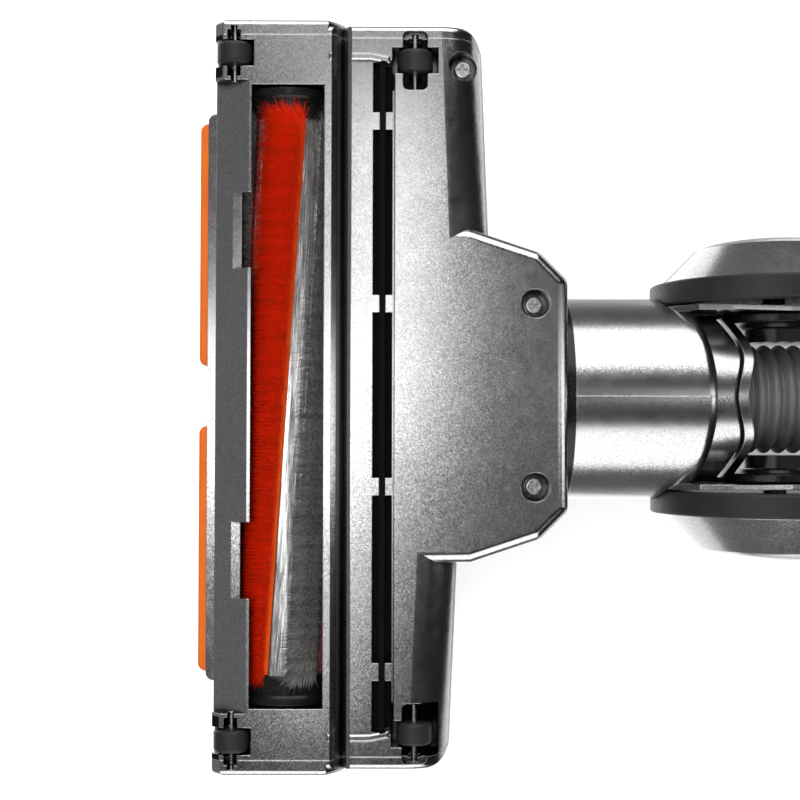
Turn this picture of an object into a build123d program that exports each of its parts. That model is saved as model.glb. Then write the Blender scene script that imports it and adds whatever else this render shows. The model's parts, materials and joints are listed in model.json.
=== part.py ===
from build123d import *
import os
from math import cos, degrees, radians, sin, sqrt

# Millimetres. x runs along the brush, y runs to the rear, z runs up from the floor.
# While a piece is drawn y = 0 lies on the brush axis; every piece is moved to the shared frame at the end.

# Brush roll
BRUSH_TIP_R = 20.0
BRUSH_FLOOR_GAP = 0.8
CORE_R = 14.5
CORE_WALL = 2.2
CORE_END_GAP = 0.8
STRIPS_PER_COLOUR = 3
STRIP_BASE_W = 7.0
STRIP_TIP_W = 12.6
STRIP_LEAN = 1.8
STRIP_MARGIN = 0.4
CORE_LIP_GAP = 0.5
CORE_LIP_W = 1.1
CORE_LIP_H = 0.7
CORE_LIP_ROOT = 0.6
BRUSH_TWIST = -42.0
RED_START = -26.0
PLUG_FLANGE_R = 18.0
PLUG_FLANGE_T = 2.2
PLUG_DEPTH = 12.0
PLUG_SLEEVE = 7.0
PLUG_SLEEVE_T = 1.4
PLUG_EDGE = 0.8
PLUG_STUB_GAP = 0.5
BRUSH_SHAFT_R = 4.0
BEARING_R = 9.0
BEARING_W = 5.0

# Drive
BRUSH_PULLEY_R = 8.0
MOTOR_PULLEY_R = 4.0
PULLEY_W = 5.5
BELT_T = 1.2
BELT_W = 4.5
BELT_ROOM = 1.0
PULLEY_GAP = 0.5
MOTOR_Y = 46.0
MOTOR_R = 12.5
MOTOR_LENGTH = 40.0
MOTOR_WALL = 1.5
MOTOR_END_T = 3.0
MOTOR_SHAFT_R = 1.5
ARMATURE_R = 9.0
ARMATURE_LENGTH = 26.0
MOTOR_REST_X = 6.0
MOTOR_REST_W = 6.0
MOTOR_REST_HALF = 8.0
MOTOR_NOSE_R = 4.0
MOTOR_NOSE_T = 2.5
MOTOR_EDGE = 1.0
BRACKET_T = 1.5
BRACKET_RIB_GAP = 1.0
BRACKET_FRONT_GAP = 0.5
BRACKET_REAR = 5.0
BRACKET_TOP = 12.0

# Head housing
HEAD_LENGTH = 243.6
REAR_STEP = 2.0
SKIRT_T = 5.0
SKIRT_STEP = 0.9
END_WALL = 8.3
FRONT_CORNER_R = 2.0
REAR_CORNER_R = 9.0
BASE_CORNER_R = 6.0
END_EDGE = 1.8
CROWN_R = 10.0
BASE_Z = 2.4
WALL = 2.2
CHAMBER_GAP = 0.8
PARTING_Z = 14.0
PAD_CHAMFER = 3.0
REAR_MOTOR = 68.5
REAR_MOTOR_END = 64.0
REAR_PLAIN = 58.5
REAR_PLAIN_END = 53.5
REAR_TOP_Z = 39.0
HEEL_R = 13.5
SHOULDER_R = 14.0

# Underside
WINDOW_END = 21.3
WINDOW_FRONT = 10.9
WINDOW_REAR = 12.6
WINDOW_ROOF = 5.0
LIP_OVERRUN = 1.5
LIP_FOOT = 11.9
LIP_RISE = 6.6
NOTCH_X = 53.2
NOTCH_LENGTH = 24.5
NOTCH_H = 3.1
GROOVE_Y = 18.4
GROOVE_W = 3.5
GROOVE_DEPTH = 4.2
GROOVE_PEAK = 1.9
GROOVE_FRONT = 1.7
GROOVE_FRONT_DROP = 1.5
GROOVE_REAR = 1.2
GROOVE_REAR_DROP = 0.7
RECESS_OVERRUN = 8.0
RECESS_DEPTH = 0.8
RECESS_REAR = 0.8
SLOT_Y = 31.5
SLOT_W = 6.3
SLOT_DEPTH = 6.6
SLOT_END = 0.5
LEDGE_W = 2.3
LEDGE_H = 0.6
LEDGE_FRONT = 14.1
LEDGE_BEND = 27.6
LEDGE_REAR = 33.8
LEDGE_SLANT = 1.2
LEDGE_EDGE = 0.5
TAB_INNER = 29.5
TAB_END = 19.2
TAB_LENGTH = 5.6
TAB_T = 2.0
BLADE_T = 1.8
BLADE_FLOOR_GAP = 1.2
BLADE_FOOT_T = 3.6
BLADE_END_GAP = 1.0

# Small rollers
ROLLER_R = 5.8
ROLLER_W = 7.2
ROLLER_EDGE = 1.3
FRONT_ROLLER_END = 11.0
FRONT_ROLLER_Y = -16.7
REAR_ROLLER_END = 13.4
REAR_ROLLER_Y = 42.0
ROLLER_AXLE_R = 1.0
ROLLER_GAP = 0.7
AXLE_SLOT_W = 4.3
AXLE_SLOT_HALF = 7.6
AXLE_SLOT_TOP = 2.0
AXLE_HALF = 9.0
AXLE_RIB = 1.6
REAR_RECESS_W = 8.0
REAR_RECESS_HALF = 9.6
REAR_RECESS_DEPTH = 2.0
REAR_RECESS_R = 1.8
REAR_POCKET_GAP = 1.0

# Screws
CORNER_SCREW_END = 14.8
CORNER_SCREW_Y = 57.6
NECK_SCREW = (29.6, 80.9)
SCREW_RECESS_R = 4.7
SCREW_RECESS_DEPTH = 8.0
SCREW_HEAD_R = 2.8
SCREW_HEAD_T = 2.2
SCREW_HEAD_EDGE = 0.6
SCREW_CROSS_HALF = 1.75
SCREW_CROSS_W = 0.9
SCREW_CROSS_DEPTH = 1.2
SCREW_SHANK_R = 1.5
SCREW_LENGTH = 12.0
POST_R = 3.6
POST_WEB = 2.4
POST_WEB_LENGTH = 20.0
SCREW_TIP_GAP = 1.0
SCREW_POST_END = 2.0

# Bumpers
BUMPER_INNER = 7.3
BUMPER_END = 28.2
BUMPER_Z = 18.8
BUMPER_H = 8.6
BUMPER_T = 3.4
BUMPER_CORNER_R = 2.7
RUBBER_OUT = 3.0
RUBBER_IN = 1.0
RUBBER_H = 5.0
RUBBER_END = 2.6
RUBBER_CORNER_R = 2.7
RUBBER_NOSE_R = 1.6

# Neck hood on the head
HOOD_HALF = 54.0
HOOD_SIDE_Y = 60.0
HOOD_KNEE = (46.5, 82.6)
HOOD_REAR = (37.5, 91.6)
HOOD_REAR_WALL = 4.0
HOOD_BULGE = 3.0
HOOD_ARCH_Z = 26.0
HOOD_START_Y = 4.0
HOOD_CREST_Y = 66.0
HOOD_EDGE = 3.5
HOOD_SLANT = 1.3
HOOD_CREST = 2.0
HOOD_CORNER_R = 3.6
HOOD_SINK = 0.4

# Neck
WHEEL_R = 43.0
AXLE_Y = 169.2
NECK_R = 35.0
NECK_WALL = 2.4
SWIVEL_GAP = 0.3
RING_OUT = 3.2
RING_T = 1.4
FLANGE_R = 36.6
FLANGE_T = 1.8
TUBE_END = 142.0
TUBE_EDGE = 4.0
TUBE_BOW_R = 91.0
BULKHEAD_T = 2.5
CHEEK_OUT = 31.0
CHEEK_T = 1.9
CHEEK_R = 22.0
CHEEK_ROOT = 27.0
CHEEK_LEAD = 14.5
CHEEK_FULL = 5.0
CHEEK_FLAT = 6.0
CHEEK_RISE = 3.0
BELLY_R = 29.8
RIM_R = 31.0
RIM_W = 3.2
WAVE = ((0.0, 152.0), (15.0, 154.6), (26.0, 150.5), (32.0, 149.5))
WAVE_SLOT_W = 1.1
WAVE_SLOT_END = 4.0
BELLY_TOP = 4.0
BELLY_LENGTH = 20.0
ARCH_GAP = 1.2
DUCT_R = 15.4
DUCT_WALL = 1.6
DUCT_MOUTH_HALF = 27.0
DUCT_MOUTH_LOW = 3.0
DUCT_MOUTH_H = 16.8
DUCT_MOUTH_R = 4.0
DUCT_MOUTH_GAP = 1.0
DUCT_MOUTH_Y = 10.0
DUCT_STRAIGHT = 6.0

# Hose
HOSE_R = 19.0
HOSE_ROOT_R = 17.0
HOSE_PITCH = 5.2
HOSE_CREST = 2.1
HOSE_RIBS = 8
HOSE_CUFF = 6.0

# Big wheels
TYRE_IN = 31.8
TYRE_W = 8.0
TYRE_DEPTH = 6.0
TYRE_EDGE = 0.9
HUB_SETBACK = 1.2
CAP_SETBACK = 3.0
CAP_KNEE_X = 12.2
CAP_KNEE_IN = 12.2
CAP_HEIGHT = 16.3
CAP_T = 2.0
CAP_CROWN = (0.76, 0.5)
CAP_KNEE_INSET = (0.7, 0.5)
CAP_FOOT_INSET = 1.45
PIN_R = 4.0
PIN_COLLAR_R = 7.6
PIN_END = 48.0
WASHER_R = 8.0
WASHER_T = 1.5
SIDE_GAP = 0.3

# Wand connector
EAR_IN = 19.6
EAR_T = 4.6
EAR_R = 11.0
EAR_ROOT = 8.0
EAR_ROOT_SHIFT = 2.0
BODY_START = 24.0
BODY_R = 25.0
BODY_LENGTH = 30.0
BODY_EDGE = 1.0
TAPER_START = 18.0
COLLAR_R = 23.0
BORE_R = 15.0
SPIGOT_R = 17.5
SPIGOT_LENGTH = 36.0
BUTTON_W = 12.0
BUTTON_LENGTH = 15.0
BUTTON_H = 5.0
BUTTON_TRAVEL = 2.0
BUTTON_PROUD = 1.0
BUTTON_HUMP = 2.4
BUTTON_WALL = 2.0
BUTTON_CORNER_R = 1.5
BUTTON_EDGE = 0.7
CONTACT_W = 20.0
CONTACT_H = 8.0
CONTACT_LENGTH = 10.0
CONTACT_GAP = 1.2
CONTACT_PIN_R = 1.2
CONTACT_PIN_OUT = 5.0
CONTACT_PIN_PITCH = 9.0
CONTACT_SEAT = 2.0

# Fits
FIT = 0.02
RUN = 0.06
BELT_GAP = 0.3

# Values that follow
BRUSH_Z = BRUSH_TIP_R + BRUSH_FLOOR_GAP
CHAMBER_R = BRUSH_TIP_R + CHAMBER_GAP
HOUSING_R = CHAMBER_R + WALL
HEAD_HALF = HEAD_LENGTH / 2
REAR_HALF = HEAD_HALF - REAR_STEP
CAVITY_HALF = HEAD_HALF - END_WALL
WINDOW_HALF = HEAD_HALF - WINDOW_END
LIP_HALF = WINDOW_HALF + LIP_OVERRUN
RECESS_HALF = WINDOW_HALF + RECESS_OVERRUN
SLOT_HALF = RECESS_HALF - SLOT_END
TAB_X = (TAB_INNER, SLOT_HALF - TAB_END)
ROLLER_FRONT = (HEAD_HALF - FRONT_ROLLER_END, FRONT_ROLLER_Y)
ROLLER_REAR = (HEAD_HALF - REAR_ROLLER_END, REAR_ROLLER_Y)
CORNER_SCREW = (HEAD_HALF - CORNER_SCREW_END, CORNER_SCREW_Y)
BUMPER_OUTER = HEAD_HALF - BUMPER_END
CORE_HALF = WINDOW_HALF - CORE_END_GAP - PLUG_FLANGE_T
STRIP_HALF = CORE_HALF - PLUG_SLEEVE - STRIP_MARGIN
AXLE_Z = WHEEL_R
HOOD_R = HOOD_HALF + HOOD_BULGE
HOOD_END = HOOD_REAR[1]
HOOD_INNER_END = HOOD_END - HOOD_REAR_WALL
TUBE_START = HOOD_END + RING_OUT
SPIGOT_NECK_R = NECK_R - RING_T
FLANGE_START = HOOD_INNER_END - SIDE_GAP - FLANGE_T
BEARING_X = WINDOW_HALF
PULLEY_X = BEARING_X + BEARING_W + PULLEY_GAP
BELT_X = PULLEY_X + PULLEY_W / 2
MOTOR_FRONT = ROLLER_REAR[0] - REAR_RECESS_HALF - AXLE_RIB - BRACKET_T - BRACKET_RIB_GAP
TYRE_OUT = TYRE_IN + TYRE_W
TYRE_ROOT = WHEEL_R - TYRE_DEPTH
CAP_R = WHEEL_R - CAP_SETBACK
CAP_KNEE_R = CAP_R - CAP_KNEE_IN
CONNECTOR_START = AXLE_Y + BODY_START
CONNECTOR_END = CONNECTOR_START + BODY_LENGTH
REAR_END = CONNECTOR_END + SPIGOT_LENGTH
FRONT_END = -HOUSING_R - BUMPER_T - RUBBER_OUT
FRAME_SHIFT = -(FRONT_END + REAR_END) / 2
HOSE_START = TUBE_END + SIDE_GAP
HOSE_END = CONNECTOR_START
MOUTH_LOW = PARTING_Z + DUCT_MOUTH_LOW
MOUTH_HIGH = MOUTH_LOW + DUCT_MOUTH_H
REACH = 2 * HEAD_LENGTH
OVER = 1.0


def block(x0, x1, y0, y1, z0, z1):
    return Pos((x0 + x1) / 2, (y0 + y1) / 2, (z0 + z1) / 2) * Box(x1 - x0, y1 - y0, z1 - z0)


def along_x(sketch, x0, x1):
    return extrude(Plane.YZ.offset(x0) * sketch, x1 - x0)


def along_y(sketch, y0, y1):
    return extrude(Plane.XZ.offset(-y1) * sketch, y1 - y0)


def along_z(sketch, z0, z1):
    return extrude(Pos(0, 0, z0) * sketch, z1 - z0)


def rod_x(r, x0, x1, y, z):
    return along_x(Pos(y, z) * Circle(r), x0, x1)


def rod_y(r, y0, y1, x=0.0, z=AXLE_Z):
    return along_y(Pos(x, z) * Circle(r), y0, y1)


def rod_z(r, z0, z1, x, y):
    return along_z(Pos(x, y) * Circle(r), z0, z1)


def polygon(*points):
    return make_face(Polyline(*points, close=True))


def flip(part):
    return mirror(part, about=Plane.YZ)


def both(part):
    return part + flip(part)


def spin_x(profile, y, z):
    return Pos(0, y, z) * revolve(profile, Axis.X)


# Housing outline, seen along the brush
def rear_outline(rear, inset):
    top = BRUSH_Z + HOUSING_R - inset
    low = BASE_Z + inset
    heel = HEEL_R - inset
    shoulder = SHOULDER_R - inset
    back = rear - inset
    k = sqrt(0.5)
    heel_c = (rear - HEEL_R, BASE_Z + HEEL_R)
    shoulder_c = (rear - SHOULDER_R, REAR_TOP_Z - SHOULDER_R)
    edges = Line((0, low), (heel_c[0], low))
    edges += ThreePointArc((heel_c[0], low), (heel_c[0] + heel * k, heel_c[1] - heel * k), (back, heel_c[1]))
    edges += Line((back, heel_c[1]), (back, shoulder_c[1]))
    edges += ThreePointArc(
        (back, shoulder_c[1]),
        (shoulder_c[0] + shoulder * k, shoulder_c[1] + shoulder * k),
        (shoulder_c[0], REAR_TOP_Z - inset),
    )
    edges += Line((shoulder_c[0], REAR_TOP_Z - inset), (0, top))
    edges += Line((0, top), (0, low))
    return make_face(edges)


def front_outline():
    k = sqrt(0.5) * HOUSING_R
    foot = sqrt(HOUSING_R**2 - (BRUSH_Z - BASE_Z) ** 2)
    edges = Line((foot, BASE_Z), (PAD_CHAMFER - HOUSING_R, BASE_Z))
    edges += Line((PAD_CHAMFER - HOUSING_R, BASE_Z), (-HOUSING_R, BASE_Z + PAD_CHAMFER))
    edges += Line((-HOUSING_R, BASE_Z + PAD_CHAMFER), (-HOUSING_R, BRUSH_Z))
    edges += ThreePointArc((-HOUSING_R, BRUSH_Z), (-k, BRUSH_Z + k), (0, BRUSH_Z + HOUSING_R))
    edges += ThreePointArc((0, BRUSH_Z + HOUSING_R), (HOUSING_R, BRUSH_Z), (foot, BASE_Z))
    return make_face(edges)


def rear_bay(inset, half):
    share = half / REAR_HALF
    motor_end = REAR_MOTOR + (REAR_MOTOR_END - REAR_MOTOR) * share
    plain_end = REAR_PLAIN + (REAR_PLAIN_END - REAR_PLAIN) * share
    motor = loft(
        [Plane.YZ * rear_outline(REAR_MOTOR, inset), Plane.YZ.offset(half) * rear_outline(motor_end, inset)],
        ruled=True,
    )
    plain = loft(
        [Plane.YZ.offset(-half) * rear_outline(plain_end, inset), Plane.YZ * rear_outline(REAR_PLAIN, inset)],
        ruled=True,
    )
    return motor + plain


# Rounded corners of the head, seen from above
def corner_plan():
    front = -HOUSING_R
    middle = rounded(
        ((-HEAD_HALF, front), FRONT_CORNER_R),
        ((HEAD_HALF, front), FRONT_CORNER_R),
        ((HEAD_HALF, GROOVE_Y), 0),
        ((REAR_HALF, GROOVE_Y + REAR_STEP), 0),
        ((REAR_HALF, REAR_MOTOR_END), REAR_CORNER_R),
        ((0, REAR_MOTOR), 0),
        ((0, REAR_PLAIN), 0),
        ((-REAR_HALF, REAR_PLAIN_END), REAR_CORNER_R),
        ((-REAR_HALF, GROOVE_Y + REAR_STEP), 0),
        ((-HEAD_HALF, GROOVE_Y), 0),
    )
    neck = ((-HOOD_HALF, GROOVE_Y), (HOOD_HALF, GROOVE_Y), (HOOD_HALF, REACH), (-HOOD_HALF, REACH))
    return middle + polygon(*neck)


def base_plan():
    front, side = HEAD_HALF - SKIRT_T, REAR_HALF - SKIRT_T + SKIRT_STEP
    wide = rounded(
        ((-front, -REACH), 0),
        ((front, -REACH), 0),
        ((front, GROOVE_Y), 0),
        ((side, GROOVE_Y + REAR_STEP), 0),
        ((side, REAR_MOTOR_END), BASE_CORNER_R),
        ((HOOD_HALF, REAR_MOTOR + OVER), 0),
        ((HOOD_HALF, REACH), 0),
        ((-HOOD_HALF, REACH), 0),
        ((-HOOD_HALF, REAR_PLAIN + OVER), 0),
        ((-side, REAR_PLAIN_END), BASE_CORNER_R),
        ((-side, GROOVE_Y + REAR_STEP), 0),
        ((-front, GROOVE_Y), 0),
    )
    return wide


def rounded(*corners):
    points = [point for point, radius in corners]
    face = polygon(*points)
    for (x, y), radius in corners:
        if radius:
            spot = face.vertices().sort_by(lambda v: (v.X - x) ** 2 + (v.Y - y) ** 2)[0]
            face = fillet(spot, radius)
    return face


# Hood over the neck: plan, arch and side outline cut from one another
def hood(inset):
    end = HOOD_END - (HOOD_REAR_WALL if inset else 0)
    slant = inset * HOOD_SLANT
    plan = polygon(
        (-HOOD_HALF + inset, HOOD_START_Y + inset),
        (HOOD_HALF - inset, HOOD_START_Y + inset),
        (HOOD_HALF - inset, HOOD_SIDE_Y),
        (HOOD_KNEE[0] - slant, HOOD_KNEE[1] - inset / 2),
        (HOOD_REAR[0] + (HOOD_END - end) - slant, end),
        (-HOOD_REAR[0] - (HOOD_END - end) + slant, end),
        (-HOOD_KNEE[0] + slant, HOOD_KNEE[1] - inset / 2),
        (-HOOD_HALF + inset, HOOD_SIDE_Y),
    )
    top = HOOD_ARCH_Z + HOOD_R - inset
    crest = top + HOOD_CREST
    body = along_z(plan, BASE_Z + inset, REACH)
    if not inset:
        posts = body.edges().filter_by(Axis.Z).filter_by_position(Axis.Y, HOOD_SIDE_Y - OVER, HOOD_END + OVER)
        body = fillet(posts, HOOD_CORNER_R)
        low = body.faces().sort_by(Axis.Z)[0].edges()
        body = fillet(low.filter_by(lambda e: e.center().Y > HOOD_SIDE_Y), HOOD_EDGE)
    side = HOOD_HALF - inset
    arch_r = HOOD_R - inset
    spring = HOOD_ARCH_Z + sqrt(arch_r**2 - side**2)
    arch = Line((-side, 0), (side, 0)) + Line((side, 0), (side, spring))
    arch += ThreePointArc((side, spring), (0, top), (-side, spring)) + Line((-side, spring), (-side, 0))
    start_z = BRUSH_Z + HOUSING_R - HOOD_SINK - inset
    rise = Spline(
        (HOOD_START_Y, start_z),
        ((HOOD_START_Y + HOOD_CREST_Y) / 2, (start_z + crest) / 2),
        (HOOD_CREST_Y, crest),
        tangents=[(1, 0.15), (1, 0.1)],
    )
    far = HOOD_END + OVER
    outline = rise + Line((HOOD_CREST_Y, crest), (far, crest + OVER)) + Line((far, crest + OVER), (far, 0))
    outline += Line((far, 0), (HOOD_START_Y, 0)) + Line((HOOD_START_Y, 0), (HOOD_START_Y, start_z))
    body &= along_y(make_face(arch), 0, far)
    return body & along_x(make_face(outline), -REACH, REACH)


# Space round the pulleys and belt
def loop(r_brush, r_motor):
    brush = Pos(0, BRUSH_Z) * Circle(r_brush)
    motor = Pos(MOTOR_Y, BRUSH_Z) * Circle(r_motor)
    return make_hull(brush.edges() + motor.edges())


def roller_pocket(spot, front):
    x, y = spot
    top = 2 * ROLLER_R + ROLLER_GAP
    half_w = ROLLER_W / 2 + ROLLER_GAP
    half_y = ROLLER_R + ROLLER_GAP
    ahead = 3 * ROLLER_R if front else half_y + REAR_POCKET_GAP
    behind = half_y if front else half_y + REAR_POCKET_GAP
    tool = block(x - half_w, x + half_w, y - ahead, y + behind, 0, top)
    slot_x, slot_y = AXLE_SLOT_HALF, AXLE_SLOT_W / 2
    tool += block(x - slot_x, x + slot_x, y - slot_y, y + slot_y, 0, ROLLER_R + AXLE_SLOT_TOP)
    seat = ROLLER_AXLE_R + FIT
    tool += block(x - AXLE_HALF - FIT, x + AXLE_HALF + FIT, y - seat, y + seat, 0, ROLLER_R)
    tool += rod_x(seat, x - AXLE_HALF - FIT, x + AXLE_HALF + FIT, y, ROLLER_R)
    if not front:
        outline = Pos(x, y) * RectangleRounded(2 * REAR_RECESS_HALF, REAR_RECESS_W, REAR_RECESS_R)
        tool += along_z(outline, 0, BASE_Z + REAR_RECESS_DEPTH)
    return tool


def pockets():
    return both(roller_pocket(ROLLER_FRONT, True)) + both(roller_pocket(ROLLER_REAR, False))


# Deep groove behind the brush, with a sloping lip on each side
def groove():
    front, rear = GROOVE_Y - GROOVE_W / 2, GROOVE_Y + GROOVE_W / 2
    low, top = BASE_Z + RECESS_DEPTH, BASE_Z + GROOVE_DEPTH
    profile = polygon(
        (front - GROOVE_FRONT, 0),
        (front - GROOVE_FRONT, BASE_Z),
        (front, BASE_Z + GROOVE_FRONT_DROP),
        (front, top - GROOVE_PEAK),
        (GROOVE_Y, top),
        (rear, top - GROOVE_PEAK),
        (rear, low + GROOVE_REAR_DROP),
        (rear + GROOVE_REAR, low),
        (rear + GROOVE_REAR, 0),
    )
    return along_x(profile, -HEAD_HALF, HEAD_HALF)


SCREW_SPOTS = (CORNER_SCREW, NECK_SCREW, (-NECK_SCREW[0], NECK_SCREW[1]))
SCREW_SEAT_Z = BASE_Z + SCREW_RECESS_DEPTH


# Whole head casing, still in one piece
def head_form():
    front = along_x(front_outline(), -HEAD_HALF, HEAD_HALF)
    front = fillet(front.faces().sort_by(Axis.X)[0].edges(), END_EDGE)
    front = fillet(front.faces().sort_by(Axis.X)[-1].edges(), END_EDGE)
    rear = rear_bay(0, REAR_HALF)
    rear = fillet(end_edges(rear, -1), END_EDGE)
    rear = fillet(end_edges(rear, 1), END_EDGE)
    whole = (front + rear) & along_z(corner_plan(), 0, REACH)
    return whole & along_y(crown(), -REACH, REACH)


# Edges of an end face, without the two that lie inside the head
def end_edges(body, side):
    face = body.faces().sort_by(Axis.X)[0 if side < 0 else -1]
    return face.edges().filter_by(lambda e: e.center().Y > OVER)


# Rounded top corners of the head, seen from the front
def crown():
    top = BRUSH_Z + HOUSING_R + OVER
    return rounded(
        ((-HEAD_HALF, 0), 0),
        ((HEAD_HALF, 0), 0),
        ((HEAD_HALF, top), CROWN_R),
        ((-HEAD_HALF, top), CROWN_R),
    )


def casing():
    outer = head_form() + hood(0)
    chamber_wall = rod_x(HOUSING_R, -HEAD_HALF, HEAD_HALF, 0, BRUSH_Z)
    inside = rear_bay(WALL, CAVITY_HALF) + hood(WALL) - chamber_wall
    rib_half = SLOT_W / 2 + WALL
    ribs = block(
        -CAVITY_HALF, CAVITY_HALF, SLOT_Y - rib_half, SLOT_Y + rib_half, BASE_Z, BASE_Z + SLOT_DEPTH + WALL
    )
    ribs += block(
        -CAVITY_HALF,
        CAVITY_HALF,
        WINDOW_REAR,
        GROOVE_Y + GROOVE_W / 2 + GROOVE_REAR + WALL,
        BASE_Z,
        BASE_Z + GROOVE_DEPTH + WALL,
    )
    x, y = ROLLER_REAR
    inner = x - REAR_RECESS_HALF - AXLE_RIB
    half = ROLLER_R + ROLLER_GAP + REAR_POCKET_GAP + AXLE_RIB
    ribs += both(block(inner, CAVITY_HALF, y - half, y + half, BASE_Z, PARTING_Z))
    for sx, sy in SCREW_SPOTS:
        ribs += rod_z(SCREW_RECESS_R + WALL, BASE_Z, PARTING_Z, sx, sy)
        high = SCREW_SEAT_Z + SCREW_LENGTH
        ribs += rod_z(POST_R, PARTING_Z, high, sx, sy)
        wall_x = sx + (POST_WEB_LENGTH if sx > 0 else -POST_WEB_LENGTH)
        ribs += block(min(sx, wall_x), max(sx, wall_x), sy - POST_WEB / 2, sy + POST_WEB / 2, PARTING_Z, high)
    x = MOTOR_FRONT - MOTOR_LENGTH + MOTOR_REST_X
    half = MOTOR_REST_HALF
    ribs += block(x, x + MOTOR_REST_W, MOTOR_Y - half, MOTOR_Y + half, BASE_Z, PARTING_Z)
    body = outer - (inside - ribs)
    body -= rod_x(MOTOR_R + FIT, MOTOR_FRONT - MOTOR_LENGTH - OVER, MOTOR_FRONT + OVER, MOTOR_Y, BRUSH_Z)
    body -= rod_x(CHAMBER_R, -WINDOW_HALF, WINDOW_HALF, 0, BRUSH_Z)
    body -= block(-WINDOW_HALF, WINDOW_HALF, -WINDOW_FRONT, WINDOW_REAR, 0, BASE_Z + WINDOW_ROOF)
    body -= rod_x(BEARING_R + FIT, -BEARING_X - BEARING_W - FIT, BEARING_X + BEARING_W + FIT, 0, BRUSH_Z)
    clear = BELT_T + BELT_GAP + BELT_ROOM
    space = loop(BRUSH_PULLEY_R + clear, MOTOR_PULLEY_R + clear)
    body -= along_x(space, PULLEY_X - PULLEY_GAP, PULLEY_X + PULLEY_W + PULLEY_GAP)
    body -= rod_x(MOTOR_SHAFT_R + BELT_GAP, MOTOR_FRONT, PULLEY_X + PULLEY_W, MOTOR_Y, BRUSH_Z)
    mouth = DUCT_MOUTH_HALF + DUCT_MOUTH_GAP
    low, high = MOUTH_LOW - DUCT_MOUTH_GAP, MOUTH_HIGH + DUCT_MOUTH_GAP
    body -= block(-mouth, mouth, 0, HOUSING_R + DUCT_MOUTH_GAP, low, high)
    body -= rod_y(NECK_R + SWIVEL_GAP, HOOD_INNER_END - OVER, HOOD_END + OVER)
    for sx, sy in SCREW_SPOTS:
        body -= rod_z(SCREW_RECESS_R, 0, SCREW_SEAT_Z, sx, sy)
        body -= rod_z(SCREW_SHANK_R + FIT, 0, SCREW_SEAT_Z + SCREW_LENGTH - SCREW_POST_END, sx, sy)
    return body


CASING = casing()


LOWER = along_z(base_plan(), 0, PARTING_Z)


def base_plate():
    body = CASING & LOWER
    slope = polygon((-LIP_FOOT, BASE_Z), (-HOUSING_R, BASE_Z + LIP_RISE), (-HOUSING_R, 0), (-LIP_FOOT, 0))
    body -= along_x(slope, -LIP_HALF, LIP_HALF)
    notch = (NOTCH_X - NOTCH_LENGTH / 2, NOTCH_X + NOTCH_LENGTH / 2)
    body -= both(block(*notch, -HOUSING_R, 0, 0, BASE_Z + NOTCH_H))
    low = BASE_Z + RECESS_DEPTH
    body -= block(-RECESS_HALF, RECESS_HALF, GROOVE_Y, SLOT_Y + SLOT_W / 2 + RECESS_REAR, 0, low)
    body -= groove()
    body -= block(-SLOT_HALF, SLOT_HALF, SLOT_Y - SLOT_W / 2, SLOT_Y + SLOT_W / 2, 0, BASE_Z + SLOT_DEPTH)
    body += both(ledge())
    gap = BLADE_T / 2 + 2 * FIT
    for tab_x in TAB_X:
        ends = (tab_x - TAB_LENGTH / 2, tab_x + TAB_LENGTH / 2)
        body += both(block(*ends, SLOT_Y - SLOT_W / 2, SLOT_Y - gap, low, low + TAB_T))
        body += both(block(*ends, SLOT_Y + gap, SLOT_Y + SLOT_W / 2, low, low + TAB_T))
    return body - pockets()


# Raised bar that closes each end of the recess
def ledge():
    x0, x1 = RECESS_HALF, RECESS_HALF + LEDGE_W
    plan = polygon(
        (x0, LEDGE_FRONT),
        (x1, LEDGE_FRONT),
        (x1, LEDGE_BEND),
        (x1 - LEDGE_SLANT, LEDGE_REAR),
        (x0 - LEDGE_SLANT, LEDGE_REAR),
        (x0, LEDGE_BEND),
    )
    bar = along_z(plan, BASE_Z - LEDGE_H, BASE_Z + OVER)
    return chamfer(bar.faces().sort_by(Axis.Z)[0].edges(), LEDGE_EDGE) - groove()


def top_cover():
    body = CASING - LOWER
    body = body - groove() - pockets()
    return body.solids().sort_by(SortBy.VOLUME)[-1]


def bumper_frame():
    z0, z1 = BUMPER_Z - BUMPER_H / 2, BUMPER_Z + BUMPER_H / 2
    body = block(BUMPER_INNER, BUMPER_OUTER, -HOUSING_R - BUMPER_T, -HOUSING_R, z0, z1)
    front = -HOUSING_R - BUMPER_T
    outer = body.edges().filter_by(Axis.Z).filter_by_position(Axis.Y, front - OVER, front + OVER)
    body = fillet(outer, BUMPER_CORNER_R)
    groove = block(
        BUMPER_INNER + RUBBER_END,
        BUMPER_OUTER - RUBBER_END,
        front - OVER,
        front + RUBBER_IN,
        BUMPER_Z - RUBBER_H / 2,
        BUMPER_Z + RUBBER_H / 2,
    )
    return body - groove


def bumper_strip():
    front = -HOUSING_R - BUMPER_T - RUBBER_OUT
    body = block(
        BUMPER_INNER + RUBBER_END,
        BUMPER_OUTER - RUBBER_END,
        front,
        -HOUSING_R - BUMPER_T + RUBBER_IN,
        BUMPER_Z - RUBBER_H / 2,
        BUMPER_Z + RUBBER_H / 2,
    )
    ends = body.edges().filter_by(Axis.Z).filter_by_position(Axis.Y, front - OVER, front + OVER)
    body = fillet(ends, RUBBER_CORNER_R)
    nose = body.edges().filter_by(Axis.X).filter_by_position(Axis.Y, front - OVER, front + OVER)
    return fillet(nose, RUBBER_NOSE_R)


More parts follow.
